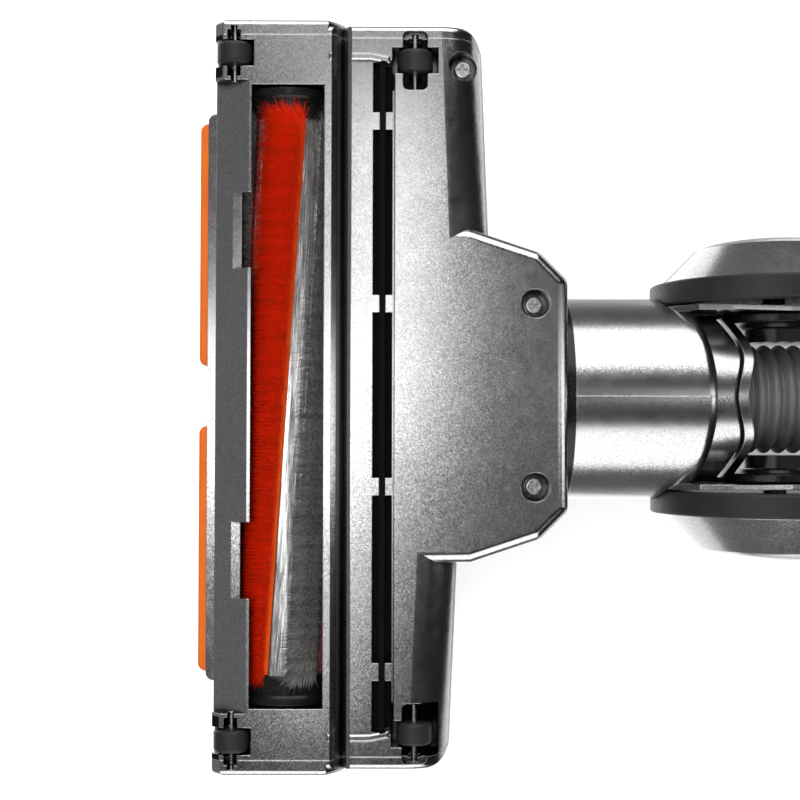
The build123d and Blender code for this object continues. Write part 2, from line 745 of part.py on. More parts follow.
def blade():
    roof = BASE_Z + SLOT_DEPTH
    half = SLOT_HALF - BLADE_END_GAP
    foot_w = SLOT_W / 2 - FIT
    profile = polygon(
        (SLOT_Y - foot_w, roof),
        (SLOT_Y - foot_w, roof - BLADE_FOOT_T),
        (SLOT_Y - BLADE_T / 2, roof - BLADE_FOOT_T),
        (SLOT_Y - BLADE_T / 2, BLADE_FLOOR_GAP),
        (SLOT_Y + BLADE_T / 2, BLADE_FLOOR_GAP),
        (SLOT_Y + BLADE_T / 2, roof - BLADE_FOOT_T),
        (SLOT_Y + foot_w, roof - BLADE_FOOT_T),
        (SLOT_Y + foot_w, roof),
    )
    return along_x(profile, -half, half)


def roller(spot, side):
    x, y = spot
    bore = ROLLER_AXLE_R + RUN
    half = ROLLER_W / 2
    profile = polygon((-half, bore), (half, bore), (half, ROLLER_R), (-half, ROLLER_R))
    body = revolve(profile, Axis.X)
    rims = body.edges().filter_by(GeomType.CIRCLE).filter_by(lambda e: e.radius > ROLLER_R - RUN)
    return Pos(side * x, y, ROLLER_R) * fillet(rims, ROLLER_EDGE)


def roller_axles():
    group = []
    for x, y in (ROLLER_FRONT, ROLLER_REAR):
        for side in (1, -1):
            group.append(rod_x(ROLLER_AXLE_R, side * x - AXLE_HALF, side * x + AXLE_HALF, y, ROLLER_R))
    return group


def cover_screw(spot):
    x, y = spot
    low = SCREW_SEAT_Z - SCREW_HEAD_T
    body = rod_z(SCREW_HEAD_R, low, SCREW_SEAT_Z, x, y)
    body = fillet(body.faces().sort_by(Axis.Z)[0].edges(), SCREW_HEAD_EDGE)
    tip = SCREW_SEAT_Z + SCREW_LENGTH - SCREW_POST_END - SCREW_TIP_GAP
    body += rod_z(SCREW_SHANK_R, SCREW_SEAT_Z, tip, x, y)
    arm, half, deep = SCREW_CROSS_HALF, SCREW_CROSS_W / 2, low + SCREW_CROSS_DEPTH
    body -= block(x - arm, x + arm, y - half, y + half, low - OVER, deep)
    body -= block(x - half, x + half, y - arm, y + arm, low - OVER, deep)
    return body


# Drive train
def brush_motor():
    body = rod_x(MOTOR_R, MOTOR_FRONT - MOTOR_LENGTH, MOTOR_FRONT, MOTOR_Y, BRUSH_Z)
    body = chamfer(body.edges().filter_by(GeomType.CIRCLE), MOTOR_EDGE)
    nose = MOTOR_FRONT + MOTOR_NOSE_T
    body += rod_x(MOTOR_NOSE_R, MOTOR_FRONT, nose, MOTOR_Y, BRUSH_Z)
    body -= rod_x(
        MOTOR_R - MOTOR_WALL,
        MOTOR_FRONT - MOTOR_LENGTH + MOTOR_END_T,
        MOTOR_FRONT - MOTOR_END_T,
        MOTOR_Y,
        BRUSH_Z,
    )
    return body - rod_x(MOTOR_SHAFT_R + RUN, MOTOR_FRONT - MOTOR_LENGTH, nose, MOTOR_Y, BRUSH_Z)


def motor_armature():
    x = MOTOR_FRONT - (MOTOR_LENGTH + ARMATURE_LENGTH) / 2
    body = rod_x(ARMATURE_R, x, x + ARMATURE_LENGTH, MOTOR_Y, BRUSH_Z)
    return body - rod_x(MOTOR_SHAFT_R + FIT, x, x + ARMATURE_LENGTH, MOTOR_Y, BRUSH_Z)


def motor_bracket():
    low = SLOT_Y + SLOT_W / 2 + WALL + BRACKET_FRONT_GAP
    near, far = MOTOR_FRONT, MOTOR_FRONT + BRACKET_T
    body = block(near, far, low, MOTOR_Y + BRACKET_REAR, BASE_Z + WALL, BRUSH_Z + BRACKET_TOP)
    return body - rod_x(MOTOR_NOSE_R + FIT, near - OVER, far + OVER, MOTOR_Y, BRUSH_Z)


def drive_belt():
    inner = loop(BRUSH_PULLEY_R + BELT_GAP, MOTOR_PULLEY_R + BELT_GAP)
    outer = loop(BRUSH_PULLEY_R + BELT_GAP + BELT_T, MOTOR_PULLEY_R + BELT_GAP + BELT_T)
    return along_x(outer - inner, BELT_X - BELT_W / 2, BELT_X + BELT_W / 2)


def brush_bearings():
    ring = rod_x(BEARING_R, BEARING_X, BEARING_X + BEARING_W, 0, BRUSH_Z)
    ring -= rod_x(BRUSH_SHAFT_R + RUN, BEARING_X - OVER, BEARING_X + BEARING_W + OVER, 0, BRUSH_Z)
    return [ring, flip(ring)]


def motor_shaft():
    return rod_x(MOTOR_SHAFT_R, MOTOR_FRONT - MOTOR_LENGTH, PULLEY_X + PULLEY_W, MOTOR_Y, BRUSH_Z)


def pulley(r, bore, y):
    body = rod_x(r, PULLEY_X, PULLEY_X + PULLEY_W, y, BRUSH_Z)
    return body - rod_x(bore + FIT, PULLEY_X - OVER, PULLEY_X + PULLEY_W + OVER, y, BRUSH_Z)


# Brush roll
def polar(r, a):
    return (r * sin(radians(a)), r * cos(radians(a)))


def twist_at(x):
    return BRUSH_TWIST * (x + STRIP_HALF) / (2 * STRIP_HALF)


def twisted(section, half):
    stations = [half * t for t in (-1, -0.5, 0, 0.5, 1)]
    return loft([Plane.YZ.offset(x) * (Pos(0, BRUSH_Z) * section(twist_at(x))) for x in stations])


# Lip along a strip, rooted in the core
def lip_section(start, end):
    low, high = CORE_R - CORE_LIP_ROOT, CORE_R + CORE_LIP_H
    return polygon(polar(low, start), polar(high, start), polar(high, end), polar(low, end))


# Tube with a pair of lips beside each strip
def brush_core():
    near = degrees((STRIP_BASE_W / 2 + CORE_LIP_GAP) / CORE_R)
    far = near + degrees(CORE_LIP_W / CORE_R)
    body = rod_x(CORE_R, -CORE_HALF, CORE_HALF, 0, BRUSH_Z)
    lips = []
    for i in range(2 * STRIPS_PER_COLOUR):
        middle = RED_START + i * 180 / STRIPS_PER_COLOUR
        for a, b in ((middle - far, middle - near), (middle + near, middle + far)):
            lips.append(twisted(lambda turn, a=a, b=b: lip_section(a + turn, b + turn), CORE_HALF))
    body += lips
    return body - rod_x(CORE_R - CORE_WALL, -CORE_HALF, CORE_HALF, 0, BRUSH_Z)


# Plug in the end of the core, with a sleeve over the lips
def brush_plug(shaft_end):
    sleeve_r = CORE_R + CORE_LIP_H + FIT
    sleeve_x, face = CORE_HALF - PLUG_SLEEVE, CORE_HALF + PLUG_FLANGE_T
    profile = polygon(
        (sleeve_x, sleeve_r),
        (sleeve_x, sleeve_r + PLUG_SLEEVE_T - PLUG_EDGE),
        (sleeve_x + PLUG_EDGE, sleeve_r + PLUG_SLEEVE_T),
        (CORE_HALF - PLUG_EDGE, sleeve_r + PLUG_SLEEVE_T),
        (CORE_HALF, PLUG_FLANGE_R - PLUG_EDGE),
        (CORE_HALF, PLUG_FLANGE_R),
        (face, PLUG_FLANGE_R),
        (face, BRUSH_SHAFT_R),
        (shaft_end, BRUSH_SHAFT_R),
        (shaft_end, 0),
        (CORE_HALF - PLUG_DEPTH, 0),
        (CORE_HALF - PLUG_DEPTH, CORE_R - CORE_WALL - FIT),
        (CORE_HALF, CORE_R - CORE_WALL - FIT),
        (CORE_HALF, sleeve_r),
    )
    return spin_x(profile, 0, BRUSH_Z)


def strip_section(angle):
    low, high = CORE_R + FIT, BRUSH_TIP_R
    knee = CORE_R + CORE_LIP_H + CORE_LIP_GAP
    a0, a1 = degrees(STRIP_BASE_W / 2 / low), degrees(STRIP_TIP_W / 2 / high)
    ak = degrees(STRIP_BASE_W / 2 / knee)
    tip = angle + degrees(STRIP_LEAN / high)
    edges = ThreePointArc(*[polar(low, angle + q) for q in (-a0, 0, a0)])
    edges += Line(polar(low, angle + a0), polar(knee, angle + ak))
    edges += Line(polar(knee, angle + ak), polar(high, tip + a1))
    edges += ThreePointArc(*[polar(high, tip + q) for q in (a1, 0, -a1)])
    edges += Line(polar(high, tip - a1), polar(knee, angle - ak))
    edges += Line(polar(knee, angle - ak), polar(low, angle - a0))
    return make_face(edges)


def bristle_strips(start):
    first = [start + i * 360 / STRIPS_PER_COLOUR for i in range(STRIPS_PER_COLOUR)]
    return [twisted(lambda turn, a=a: strip_section(a + turn), STRIP_HALF) for a in first]


def suction_duct():
    join = FLANGE_START - DUCT_STRAIGHT

    def tube(grow):
        r = DUCT_R + 2 * SWIVEL_GAP + grow
        size = (2 * (DUCT_MOUTH_HALF + grow), DUCT_MOUTH_H + 2 * grow)
        rim = Pos(0, (MOUTH_LOW + MOUTH_HIGH) / 2) * RectangleRounded(*size, DUCT_MOUTH_R)
        mouth = Plane.XZ.offset(-DUCT_MOUTH_Y) * rim
        end = Plane.XZ.offset(-join) * (Pos(0, AXLE_Z) * Circle(r))
        return loft([mouth, end]) + rod_y(r, join, HOOD_END)

    return tube(DUCT_WALL) - tube(0) - rod_x(HOUSING_R + FIT, -HEAD_HALF, HEAD_HALF, 0, BRUSH_Z)


# Neck
def wave(shift):
    points = [(x, y + shift) for x, y in WAVE]
    return [(-x, y) for x, y in reversed(points[1:])] + points


def behind_wave(shift, far):
    line = wave(shift)
    edges = Spline(*line) + Line(line[-1], (line[-1][0], far)) + Line((line[-1][0], far), (line[0][0], far))
    return along_z(make_face(edges + Line((line[0][0], far), line[0])), 0, AXLE_Z)


# Side plate of the fork, which leaves the tube on a slope
def cheek():
    z, r = AXLE_Z, CHEEK_R
    root, full, flat = TUBE_END - CHEEK_LEAD, TUBE_END - CHEEK_FULL, TUBE_END + CHEEK_FLAT
    sunk = sqrt(NECK_R**2 - CHEEK_OUT**2) - NECK_WALL / 2
    low, high = z - CHEEK_ROOT, z + r + CHEEK_RISE
    edges = Line((root, z - sunk), (full, low)) + Line((full, low), (flat, low))
    edges += Line((flat, low), (AXLE_Y, z - r))
    edges += ThreePointArc((AXLE_Y, z - r), (AXLE_Y + r, z), (AXLE_Y, z + r))
    edges += Line((AXLE_Y, z + r), (flat, high)) + Line((flat, high), (full, high))
    edges += Line((full, high), (root, z + sunk)) + Line((root, z + sunk), (root, z - sunk))
    return along_x(make_face(edges), CHEEK_OUT - CHEEK_T, CHEEK_OUT)


def neck_whole():
    tube = rod_y(NECK_R, TUBE_START, TUBE_END)
    tube &= rod_z(TUBE_BOW_R, 0, REACH, 0, TUBE_END - TUBE_BOW_R)
    rear = tube.edges().filter_by(lambda e: e.center().Y > TUBE_START + OVER and e.length > NECK_R)
    tube = fillet(rear, TUBE_EDGE)
    tube -= both(rod_x(WHEEL_R + ARCH_GAP, CHEEK_OUT, CHEEK_OUT + NECK_R, AXLE_Y, AXLE_Z))
    tube += rod_y(SPIGOT_NECK_R, FLANGE_START, TUBE_START)
    tube += rod_y(FLANGE_R, FLANGE_START, FLANGE_START + FLANGE_T)
    inner_r = NECK_R - NECK_WALL
    hollow = rod_y(SPIGOT_NECK_R - NECK_WALL, FLANGE_START, TUBE_START)
    hollow += rod_y(inner_r, TUBE_START, TUBE_END - BULKHEAD_T - TUBE_EDGE)
    inside = CHEEK_OUT - CHEEK_T
    wide_end = AXLE_Y - WHEEL_R - ARCH_GAP - NECK_WALL
    hollow &= block(-inside, inside, 0, TUBE_END, 0, REACH) + block(-REACH, REACH, 0, wide_end, 0, REACH)
    far = AXLE_Y + WHEEL_R
    lower = block(-REACH, REACH, 0, far, 0, AXLE_Z - BELLY_TOP)
    belly = rod_y(BELLY_R, TUBE_END - TUBE_EDGE, TUBE_END + BELLY_LENGTH) & lower
    rim = rod_y(RIM_R, TUBE_END, TUBE_END + BELLY_LENGTH) & behind_wave(-RIM_W, far) & lower
    under = belly + rim - rod_y(BELLY_R - NECK_WALL, TUBE_END, TUBE_END + BELLY_LENGTH + OVER)
    under &= block(-CHEEK_OUT, CHEEK_OUT, 0, far, 0, REACH)
    under -= behind_wave(0, far)
    slot = behind_wave(-RIM_W - WAVE_SLOT_W, far) - behind_wave(-RIM_W, far)
    slot_half = CHEEK_OUT - WAVE_SLOT_END
    under -= slot & block(-slot_half, slot_half, 0, far, 0, AXLE_Z)
    body = tube - hollow + both(cheek()) + under
    body -= rod_y(DUCT_R + FIT, FLANGE_START - OVER, TUBE_END + OVER)
    return body - rod_x(PIN_R + FIT, -REACH, REACH, AXLE_Y, AXLE_Z)


NECK = neck_whole()


def neck_shell(side):
    ends = (0, REACH) if side > 0 else (-REACH, 0)
    return NECK & block(*ends, 0, REACH, 0, REACH)


def swivel_ring():
    start = FLANGE_START + FLANGE_T
    return rod_y(NECK_R, start, TUBE_START) - rod_y(SPIGOT_NECK_R + FIT, start - OVER, TUBE_START + OVER)


def neck_duct():
    start, end = HOOD_INNER_END, HOSE_START + HOSE_CUFF
    return rod_y(DUCT_R, start, end) - rod_y(DUCT_R - DUCT_WALL, start - OVER, end + OVER)


def hose():
    inner = DUCT_R + FIT
    ribs_start = (HOSE_START + HOSE_END - HOSE_RIBS * HOSE_PITCH) / 2
    outer_line = [(HOSE_START, HOSE_ROOT_R), (ribs_start, HOSE_ROOT_R)]
    for i in range(HOSE_RIBS):
        y, slope = ribs_start + i * HOSE_PITCH, (HOSE_PITCH - HOSE_CREST) / 2
        outer_line += [(y + slope, HOSE_R), (y + slope + HOSE_CREST, HOSE_R), (y + HOSE_PITCH, HOSE_ROOT_R)]
    outer_line.append((HOSE_END, HOSE_ROOT_R))
    profile = make_face(Polyline(*outer_line, (HOSE_END, inner), (HOSE_START, inner), close=True))
    return Pos(0, 0, AXLE_Z) * revolve(profile_on_y(profile), Axis.Y)


def profile_on_y(profile):
    return Plane((0, 0, 0), x_dir=(0, 1, 0), z_dir=(1, 0, 0)) * profile


def stub_axle():
    body = rod_x(PIN_R, EAR_IN, PIN_END, AXLE_Y, AXLE_Z)
    inner = EAR_IN + EAR_T + SIDE_GAP
    return body + rod_x(PIN_COLLAR_R, inner, CHEEK_OUT - CHEEK_T, AXLE_Y, AXLE_Z)


def axle_washers():
    x = TYRE_OUT + SIDE_GAP
    ring = rod_x(WASHER_R, x, x + WASHER_T, AXLE_Y, AXLE_Z)
    ring -= rod_x(PIN_R + FIT, x - OVER, x + WASHER_T + OVER, AXLE_Y, AXLE_Z)
    return [ring, flip(ring)]


# Big wheels
def wheel_tyre():
    profile = polygon((TYRE_IN, TYRE_ROOT), (TYRE_OUT, TYRE_ROOT), (TYRE_OUT, WHEEL_R), (TYRE_IN, WHEEL_R))
    body = revolve(profile, Axis.X)
    rims = body.edges().filter_by(GeomType.CIRCLE).filter_by(lambda e: e.radius > WHEEL_R - RUN)
    return Pos(0, AXLE_Y, AXLE_Z) * fillet(rims, TYRE_EDGE)


def wheel_hub():
    x0, bore = TYRE_IN + HUB_SETBACK, PIN_R + RUN
    rim = TYRE_ROOT - FIT
    return spin_x(polygon((x0, bore), (TYRE_OUT, bore), (TYRE_OUT, rim), (x0, rim)), AXLE_Y, AXLE_Z)


def cap_outline(inset):
    x0, tip = TYRE_OUT, TYRE_OUT + CAP_HEIGHT - inset
    knee_x, knee_r = x0 + CAP_KNEE_X - inset * CAP_KNEE_INSET[0], CAP_KNEE_R - inset * CAP_KNEE_INSET[1]
    foot = CAP_R - inset * CAP_FOOT_INSET
    mid = (knee_x + (tip - knee_x) * CAP_CROWN[0], knee_r * CAP_CROWN[1])
    edges = Line((x0, 0), (x0, foot)) + Line((x0, foot), (knee_x, knee_r))
    edges += Spline((knee_x, knee_r), mid, (tip, 0), tangents=[(0.45, -0.9), (0, -1)])
    return make_face(edges + Line((tip, 0), (x0, 0)))


def wheel_cap():
    shell = revolve(cap_outline(0), Axis.X) - revolve(cap_outline(CAP_T), Axis.X)
    return Pos(0, AXLE_Y, AXLE_Z) * shell


# Wand connector
def connector_body():
    ear = make_hull(
        (Pos(AXLE_Y, AXLE_Z) * Circle(EAR_R)).edges()
        + (Pos(CONNECTOR_START + EAR_ROOT_SHIFT, AXLE_Z) * Rectangle(EAR_ROOT, 2 * EAR_R)).edges()
    )
    body = both(along_x(ear, EAR_IN, EAR_IN + EAR_T))
    taper = Polyline(
        (CONNECTOR_START, 0),
        (CONNECTOR_START, BODY_R - BODY_EDGE),
        (CONNECTOR_START + BODY_EDGE, BODY_R),
        (CONNECTOR_START + TAPER_START, BODY_R),
        (CONNECTOR_END - BODY_EDGE, COLLAR_R),
        (CONNECTOR_END, COLLAR_R - BODY_EDGE),
        (CONNECTOR_END, SPIGOT_R),
        (REAR_END - BODY_EDGE, SPIGOT_R),
        (REAR_END, SPIGOT_R - BODY_EDGE),
        (REAR_END, 0),
        close=True,
    )
    body += Pos(0, 0, AXLE_Z) * revolve(profile_on_y(make_face(taper)), Axis.Y)
    top = AXLE_Z + COLLAR_R + BUTTON_HUMP
    half_w, half_l = BUTTON_W / 2 + BUTTON_WALL, BUTTON_LENGTH / 2 + BUTTON_WALL
    mid = (CONNECTOR_START + CONNECTOR_END) / 2
    hump = block(-half_w, half_w, mid - half_l, mid + half_l, AXLE_Z + SPIGOT_R, top)
    hump = fillet(hump.edges().filter_by(Axis.Z), BUTTON_WALL)
    body += hump
    gap = SIDE_GAP
    body -= block(
        -BUTTON_W / 2 - gap,
        BUTTON_W / 2 + gap,
        mid - BUTTON_LENGTH / 2 - gap,
        mid + BUTTON_LENGTH / 2 + gap,
        top + BUTTON_PROUD - BUTTON_H - BUTTON_TRAVEL - gap,
        top + BUTTON_H,
    )
    body -= rod_y(BORE_R, CONNECTOR_START - OVER, REAR_END + OVER)
    return body - both(rod_x(PIN_R + RUN, EAR_IN - OVER, EAR_IN + EAR_T + OVER, AXLE_Y, AXLE_Z))


def release_button():
    top = AXLE_Z + COLLAR_R + BUTTON_HUMP + BUTTON_PROUD
    mid = (CONNECTOR_START + CONNECTOR_END) / 2
    body = block(
        -BUTTON_W / 2, BUTTON_W / 2, mid - BUTTON_LENGTH / 2, mid + BUTTON_LENGTH / 2, top - BUTTON_H, top
    )
    body = fillet(body.edges().filter_by(Axis.Z), BUTTON_CORNER_R)
    return fillet(body.faces().sort_by(Axis.Z)[-1].edges(), BUTTON_EDGE)


def contact_block():
    top = AXLE_Z - SPIGOT_R - CONTACT_GAP
    z0 = top - CONTACT_H
    body = block(-CONTACT_W / 2, CONTACT_W / 2, CONNECTOR_END, CONNECTOR_END + CONTACT_LENGTH, z0, top)
    return body - contact_holes()


def contact_spots():
    z = AXLE_Z - SPIGOT_R - CONTACT_GAP - CONTACT_H / 2
    return [(side * CONTACT_PIN_PITCH / 2, z) for side in (1, -1)]


def contact_holes():
    end = CONNECTOR_END + CONTACT_LENGTH + OVER
    tool = Part()
    for x, z in contact_spots():
        tool += rod_y(CONTACT_PIN_R + FIT, CONNECTOR_END + CONTACT_SEAT, end, x, z)
    return tool


def contact_pins():
    end = CONNECTOR_END + CONTACT_LENGTH + CONTACT_PIN_OUT
    return [rod_y(CONTACT_PIN_R, CONNECTOR_END + CONTACT_SEAT, end, x, z) for x, z in contact_spots()]


NODES = {
    "base_plate": base_plate(),
    "top_cover": top_cover(),
    "bumper_frame_right": bumper_frame(),
    "bumper_frame_left": flip(bumper_frame()),
    "bumper_strip_right": bumper_strip(),
    "bumper_strip_left": flip(bumper_strip()),
    "rubber_blade": blade(),
    "roller_axles": roller_axles(),
    "roller_front_right": roller(ROLLER_FRONT, 1),
    "roller_front_left": roller(ROLLER_FRONT, -1),
    "roller_rear_right": roller(ROLLER_REAR, 1),
    "roller_rear_left": roller(ROLLER_REAR, -1),
    "cover_screws": [cover_screw(spot) for spot in SCREW_SPOTS],
    "brush_motor": brush_motor(),
    "motor_bracket": motor_bracket(),
    "drive_belt": drive_belt(),
    "brush_bearings": brush_bearings(),
    "motor_shaft": motor_shaft(),
    "motor_armature": motor_armature(),
    "motor_pulley": pulley(MOTOR_PULLEY_R, MOTOR_SHAFT_R, MOTOR_Y),
    "brush_pulley": pulley(BRUSH_PULLEY_R, BRUSH_SHAFT_R, 0),
    "brush_core": brush_core(),
    "brush_plug_drive": brush_plug(PULLEY_X + PULLEY_W),
    "brush_plug_plain": flip(brush_plug(BEARING_X + BEARING_W - PLUG_STUB_GAP)),
    "bristle_strips_red": bristle_strips(RED_START),
    "bristle_strips_grey": bristle_strips(RED_START + 180 / STRIPS_PER_COLOUR),
    "suction_duct": suction_duct(),
    "neck_shell_right": neck_shell(1),
    "neck_shell_left": neck_shell(-1),
    "swivel_ring": swivel_ring(),
    "neck_duct": neck_duct(),
    "corrugated_hose": hose(),
    "stub_axle_right": stub_axle(),
    "stub_axle_left": flip(stub_axle()),
    "axle_washers": axle_washers(),
    "wheel_tyre_right": wheel_tyre(),
    "wheel_tyre_left": flip(wheel_tyre()),
    "wheel_hub_right": wheel_hub(),
    "wheel_hub_left": flip(wheel_hub()),
    "wheel_cap_right": wheel_cap(),
    "wheel_cap_left": flip(wheel_cap()),
    "connector_body": connector_body(),
    "release_button": release_button(),
    "contact_block": contact_block(),
    "contact_pins": contact_pins(),
}

os.makedirs("parts", exist_ok=True)
for name, shape in NODES.items():
    pieces = shape if isinstance(shape, list) else [shape]
    solids = [s for piece in pieces for s in piece.solids()]
    whole = solids[0] if len(solids) == 1 else Compound(children=solids)
    export_step(Pos(0, FRAME_SHIFT, 0) * whole, f"parts/{name}.step")
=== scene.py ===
import json
import math

import bpy
import numpy as np
from mathutils import Matrix, Vector


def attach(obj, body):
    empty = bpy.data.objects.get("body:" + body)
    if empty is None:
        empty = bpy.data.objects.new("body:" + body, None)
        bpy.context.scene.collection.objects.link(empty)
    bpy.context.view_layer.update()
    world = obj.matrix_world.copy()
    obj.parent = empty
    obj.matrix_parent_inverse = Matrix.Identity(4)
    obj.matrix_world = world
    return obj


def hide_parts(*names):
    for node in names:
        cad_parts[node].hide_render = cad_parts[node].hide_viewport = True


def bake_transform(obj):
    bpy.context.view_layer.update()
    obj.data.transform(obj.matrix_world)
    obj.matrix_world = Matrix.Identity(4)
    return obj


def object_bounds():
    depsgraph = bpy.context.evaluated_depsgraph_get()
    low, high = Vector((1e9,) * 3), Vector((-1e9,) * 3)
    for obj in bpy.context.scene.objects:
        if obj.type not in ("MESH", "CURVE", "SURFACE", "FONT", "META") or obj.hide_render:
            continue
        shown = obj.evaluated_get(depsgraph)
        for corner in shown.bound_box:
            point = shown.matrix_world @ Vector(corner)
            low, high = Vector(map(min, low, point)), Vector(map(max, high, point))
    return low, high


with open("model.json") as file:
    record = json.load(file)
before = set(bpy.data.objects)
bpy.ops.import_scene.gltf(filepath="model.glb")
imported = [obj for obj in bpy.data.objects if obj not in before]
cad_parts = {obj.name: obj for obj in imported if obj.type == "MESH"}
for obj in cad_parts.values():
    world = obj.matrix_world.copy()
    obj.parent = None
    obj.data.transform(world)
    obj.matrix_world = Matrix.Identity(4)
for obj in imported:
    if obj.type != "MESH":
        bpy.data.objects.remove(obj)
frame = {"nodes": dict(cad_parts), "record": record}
cad_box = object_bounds()
nodes = frame["nodes"]

# Camera, in metres and pixels: the underside seen from below
CAMERA_SPOT = (-0.013446, -0.079789, -0.43)
CAMERA_RIGHT = (0.0020, 0.99999, -0.0050)
CAMERA_UP = (0.99963, -0.00214, -0.02730)
FOCAL_PX = 1345.4
IMAGE_PX = 800
SENSOR_MM = 36.0
CLIP_START = 0.01

# Brush roll, in metres: its axis, its radii and the strips that twist along it
BRUSH_Y = -0.1149
BRUSH_Z = 0.0208
CORE_R = 0.0145
ROOT_R = 0.0147
BED_R = 0.0168
TIP_R = 0.0200
STRIP_HALF = 0.0901
STRIP_ROOT_HALF = 0.0033
STRIPS_PER_COLOUR = 3
TWIST = math.radians(-42.0)
RED_START = math.radians(-26.0)

# Hairs of a strip, in metres: number, thickness at the root and how their lengths differ
HAIRS = 44000
HAIR_SIDES = 3
HAIR_ROOT = 0.00012
HAIR_SIDE_HINT = np.array([1.0, 0.31, 0.17])
LENGTH_SPREAD = 0.18
PILE_CROWN = 0.0014
CROWN_POWER = 2.5

# Where the tips lie, in metres: lean, tufts, stray and loose hairs, and the fan at both ends
TIP_NEAR = -0.0034
RED_REACH = 0.0122
GREY_REACH = 0.0094
CLUMP = 0.0011
CLUMP_PULL = 0.65
TIP_JITTER = 0.0007
LOOSE_JITTER = 0.0011
FLYAWAY_SHARE = 0.10
FLYAWAY_FROM = 0.3
FLYAWAY = 2.2
FRINGE = 0.0012
END_FAN = 0.0042
END_REACH = 0.010
TIP_X_MAX = 0.0975

# Light and dark hairs: share of each hair and of each streak, dull edges and the bed
HAIR_TONE = 0.7
STREAK_TONE = 0.3
STREAK = 0.0006
EDGE_DULL = 0.35
EDGE_POWER = 6
BED_TONE = 0.2

# Packed bed under the hairs: rows, sides, and its section in shares of the root's half width
BED_STEPS = 120
BED_SIDES = 10
BED_BULGE = 1.06
BED_SPREAD = 1.3
BED_TURN = 1.2
BED_DROP = 0.0006

# Repeatable scatter
SEED = 7
TUFT_PRIMES = (7919, 104729)
TUFT_STEP = 12.9898
STRAND_STEP = 78.233
SCATTER_GAIN = 43758.5453

# Corrugated hose, in metres
HOSE_START_Y = 0.0274
HOSE_END_Y = 0.0783
HOSE_Z = 0.0430
HOSE_R = 0.0190
HOSE_ROOT = 0.0170
HOSE_BORE = 0.0155
HOSE_PITCH = 0.0052
HOSE_RIBS = 8
HOSE_LAND = 0.0008
HOSE_FULLNESS = 0.7
HOSE_RIB_POINTS = 14
HOSE_BORE_POINTS = 24
HOSE_AROUND = 72

# Boss between each cheek of the fork and the ear of the connector, in metres
AXLE_Y = 0.0543
BOSS_IN = 0.0246
BOSS_OUT = 0.0290
BOSS_R = 0.0200
BOSS_BORE = 0.0086
BOSS_EDGE = 0.0006
BOSS_STEP = 0.0012
BOSS_LAND = 0.0120
BOSS_BEND_POINTS = 4
BOSS_AROUND = 96

rng = np.random.default_rng(SEED)

# Sockets of a colour mix
MIX_A = 6
MIX_B = 7
MIX_RESULT = 2

# Where a noise's dark and light ends are taken
LOW = 0.3
HIGH = 0.7

EDGE_SAMPLES = 4
OPEN_SAMPLES = 8


# Node helpers
def material(name, sockets):
    mat = bpy.data.materials.new(name)
    mat.use_nodes = True
    shader = mat.node_tree.nodes["Principled BSDF"]
    for key, value in sockets.items():
        shader.inputs[key].default_value = value
    return mat, mat.node_tree, shader


def add(tree, kind, inputs=None, **settings):
    node = tree.nodes.new(kind)
    for key, value in settings.items():
        setattr(node, key, value)
    for key, value in (inputs or {}).items():
        if isinstance(value, bpy.types.NodeSocket):
            tree.links.new(value, node.inputs[key])
        else:
            node.inputs[key].default_value = value
    return node


def spot(tree):
    return add(tree, "ShaderNodeTexCoord").outputs["Object"]


def split(tree, vector):
    return add(tree, "ShaderNodeSeparateXYZ", {0: vector}).outputs


def noise(tree, vector, scale, detail=3.0, rough=0.55):
    inputs = {"Vector": vector, "Scale": scale, "Detail": detail, "Roughness": rough}
    return add(tree, "ShaderNodeTexNoise", inputs).outputs["Fac"]


def math_node(tree, operation, a, b=0.0):
    return add(tree, "ShaderNodeMath", {0: a, 1: b}, operation=operation).outputs[0]


def vector_node(tree, operation, a, b):
    return add(tree, "ShaderNodeVectorMath", {0: a, 1: b}, operation=operation).outputs[0]


def unit(tree, vector):
    return add(tree, "ShaderNodeVectorMath", {0: vector}, operation="NORMALIZE").outputs[0]


def within(tree, value, middle, half):
    # 1 where the value is no further than half from the middle, and 0 elsewhere
    return add(tree, "ShaderNodeMath", {0: value, 1: middle, 2: half}, operation="COMPARE").outputs[0]


def ramp(tree, factor, *stops):
    node = add(tree, "ShaderNodeValToRGB", {"Fac": factor})
    points = node.color_ramp.elements
    while len(points) < len(stops):
        points.new(0.5)
    for point, (place, colour) in zip(points, stops):
        point.position = place
        value = (colour,) * 3 if isinstance(colour, (int, float)) else colour
        point.color = (*value, 1.0)
    return node.outputs["Color"]


def bump(tree, height, strength, distance, normal=None):
    inputs = {"Height": height, "Strength": strength, "Distance": distance}
    if normal is not None:
        inputs["Normal"] = normal
    return add(tree, "ShaderNodeBump", inputs).outputs["Normal"]


def soft_edge(tree, radius):
    return add(tree, "ShaderNodeBevel", {"Radius": radius}, samples=EDGE_SAMPLES).outputs["Normal"]


def open_share(tree, reach):
    # 1 on open faces, falling towards 0 deep in slots, grooves and holes
    settings = {"samples": OPEN_SAMPLES, "only_local": True}
    return add(tree, "ShaderNodeAmbientOcclusion", {"Distance": reach}, **settings).outputs["AO"]


def from_axis(tree, axes, first, second, at):
    # Distance from a line that runs along the third axis
    a = math_node(tree, "SUBTRACT", axes[first], at[0])
    b = math_node(tree, "SUBTRACT", axes[second], at[1])
    square_a = math_node(tree, "MULTIPLY", a, a)
    square_b = math_node(tree, "MULTIPLY", b, b)
    return math_node(tree, "SQRT", math_node(tree, "ADD", square_a, square_b))


def multiply(tree, a, b):
    inputs = {"Factor": 1.0, MIX_A: a, MIX_B: b}
    node = add(tree, "ShaderNodeMix", inputs, data_type="RGBA", blend_type="MULTIPLY")
    return node.outputs[MIX_RESULT]


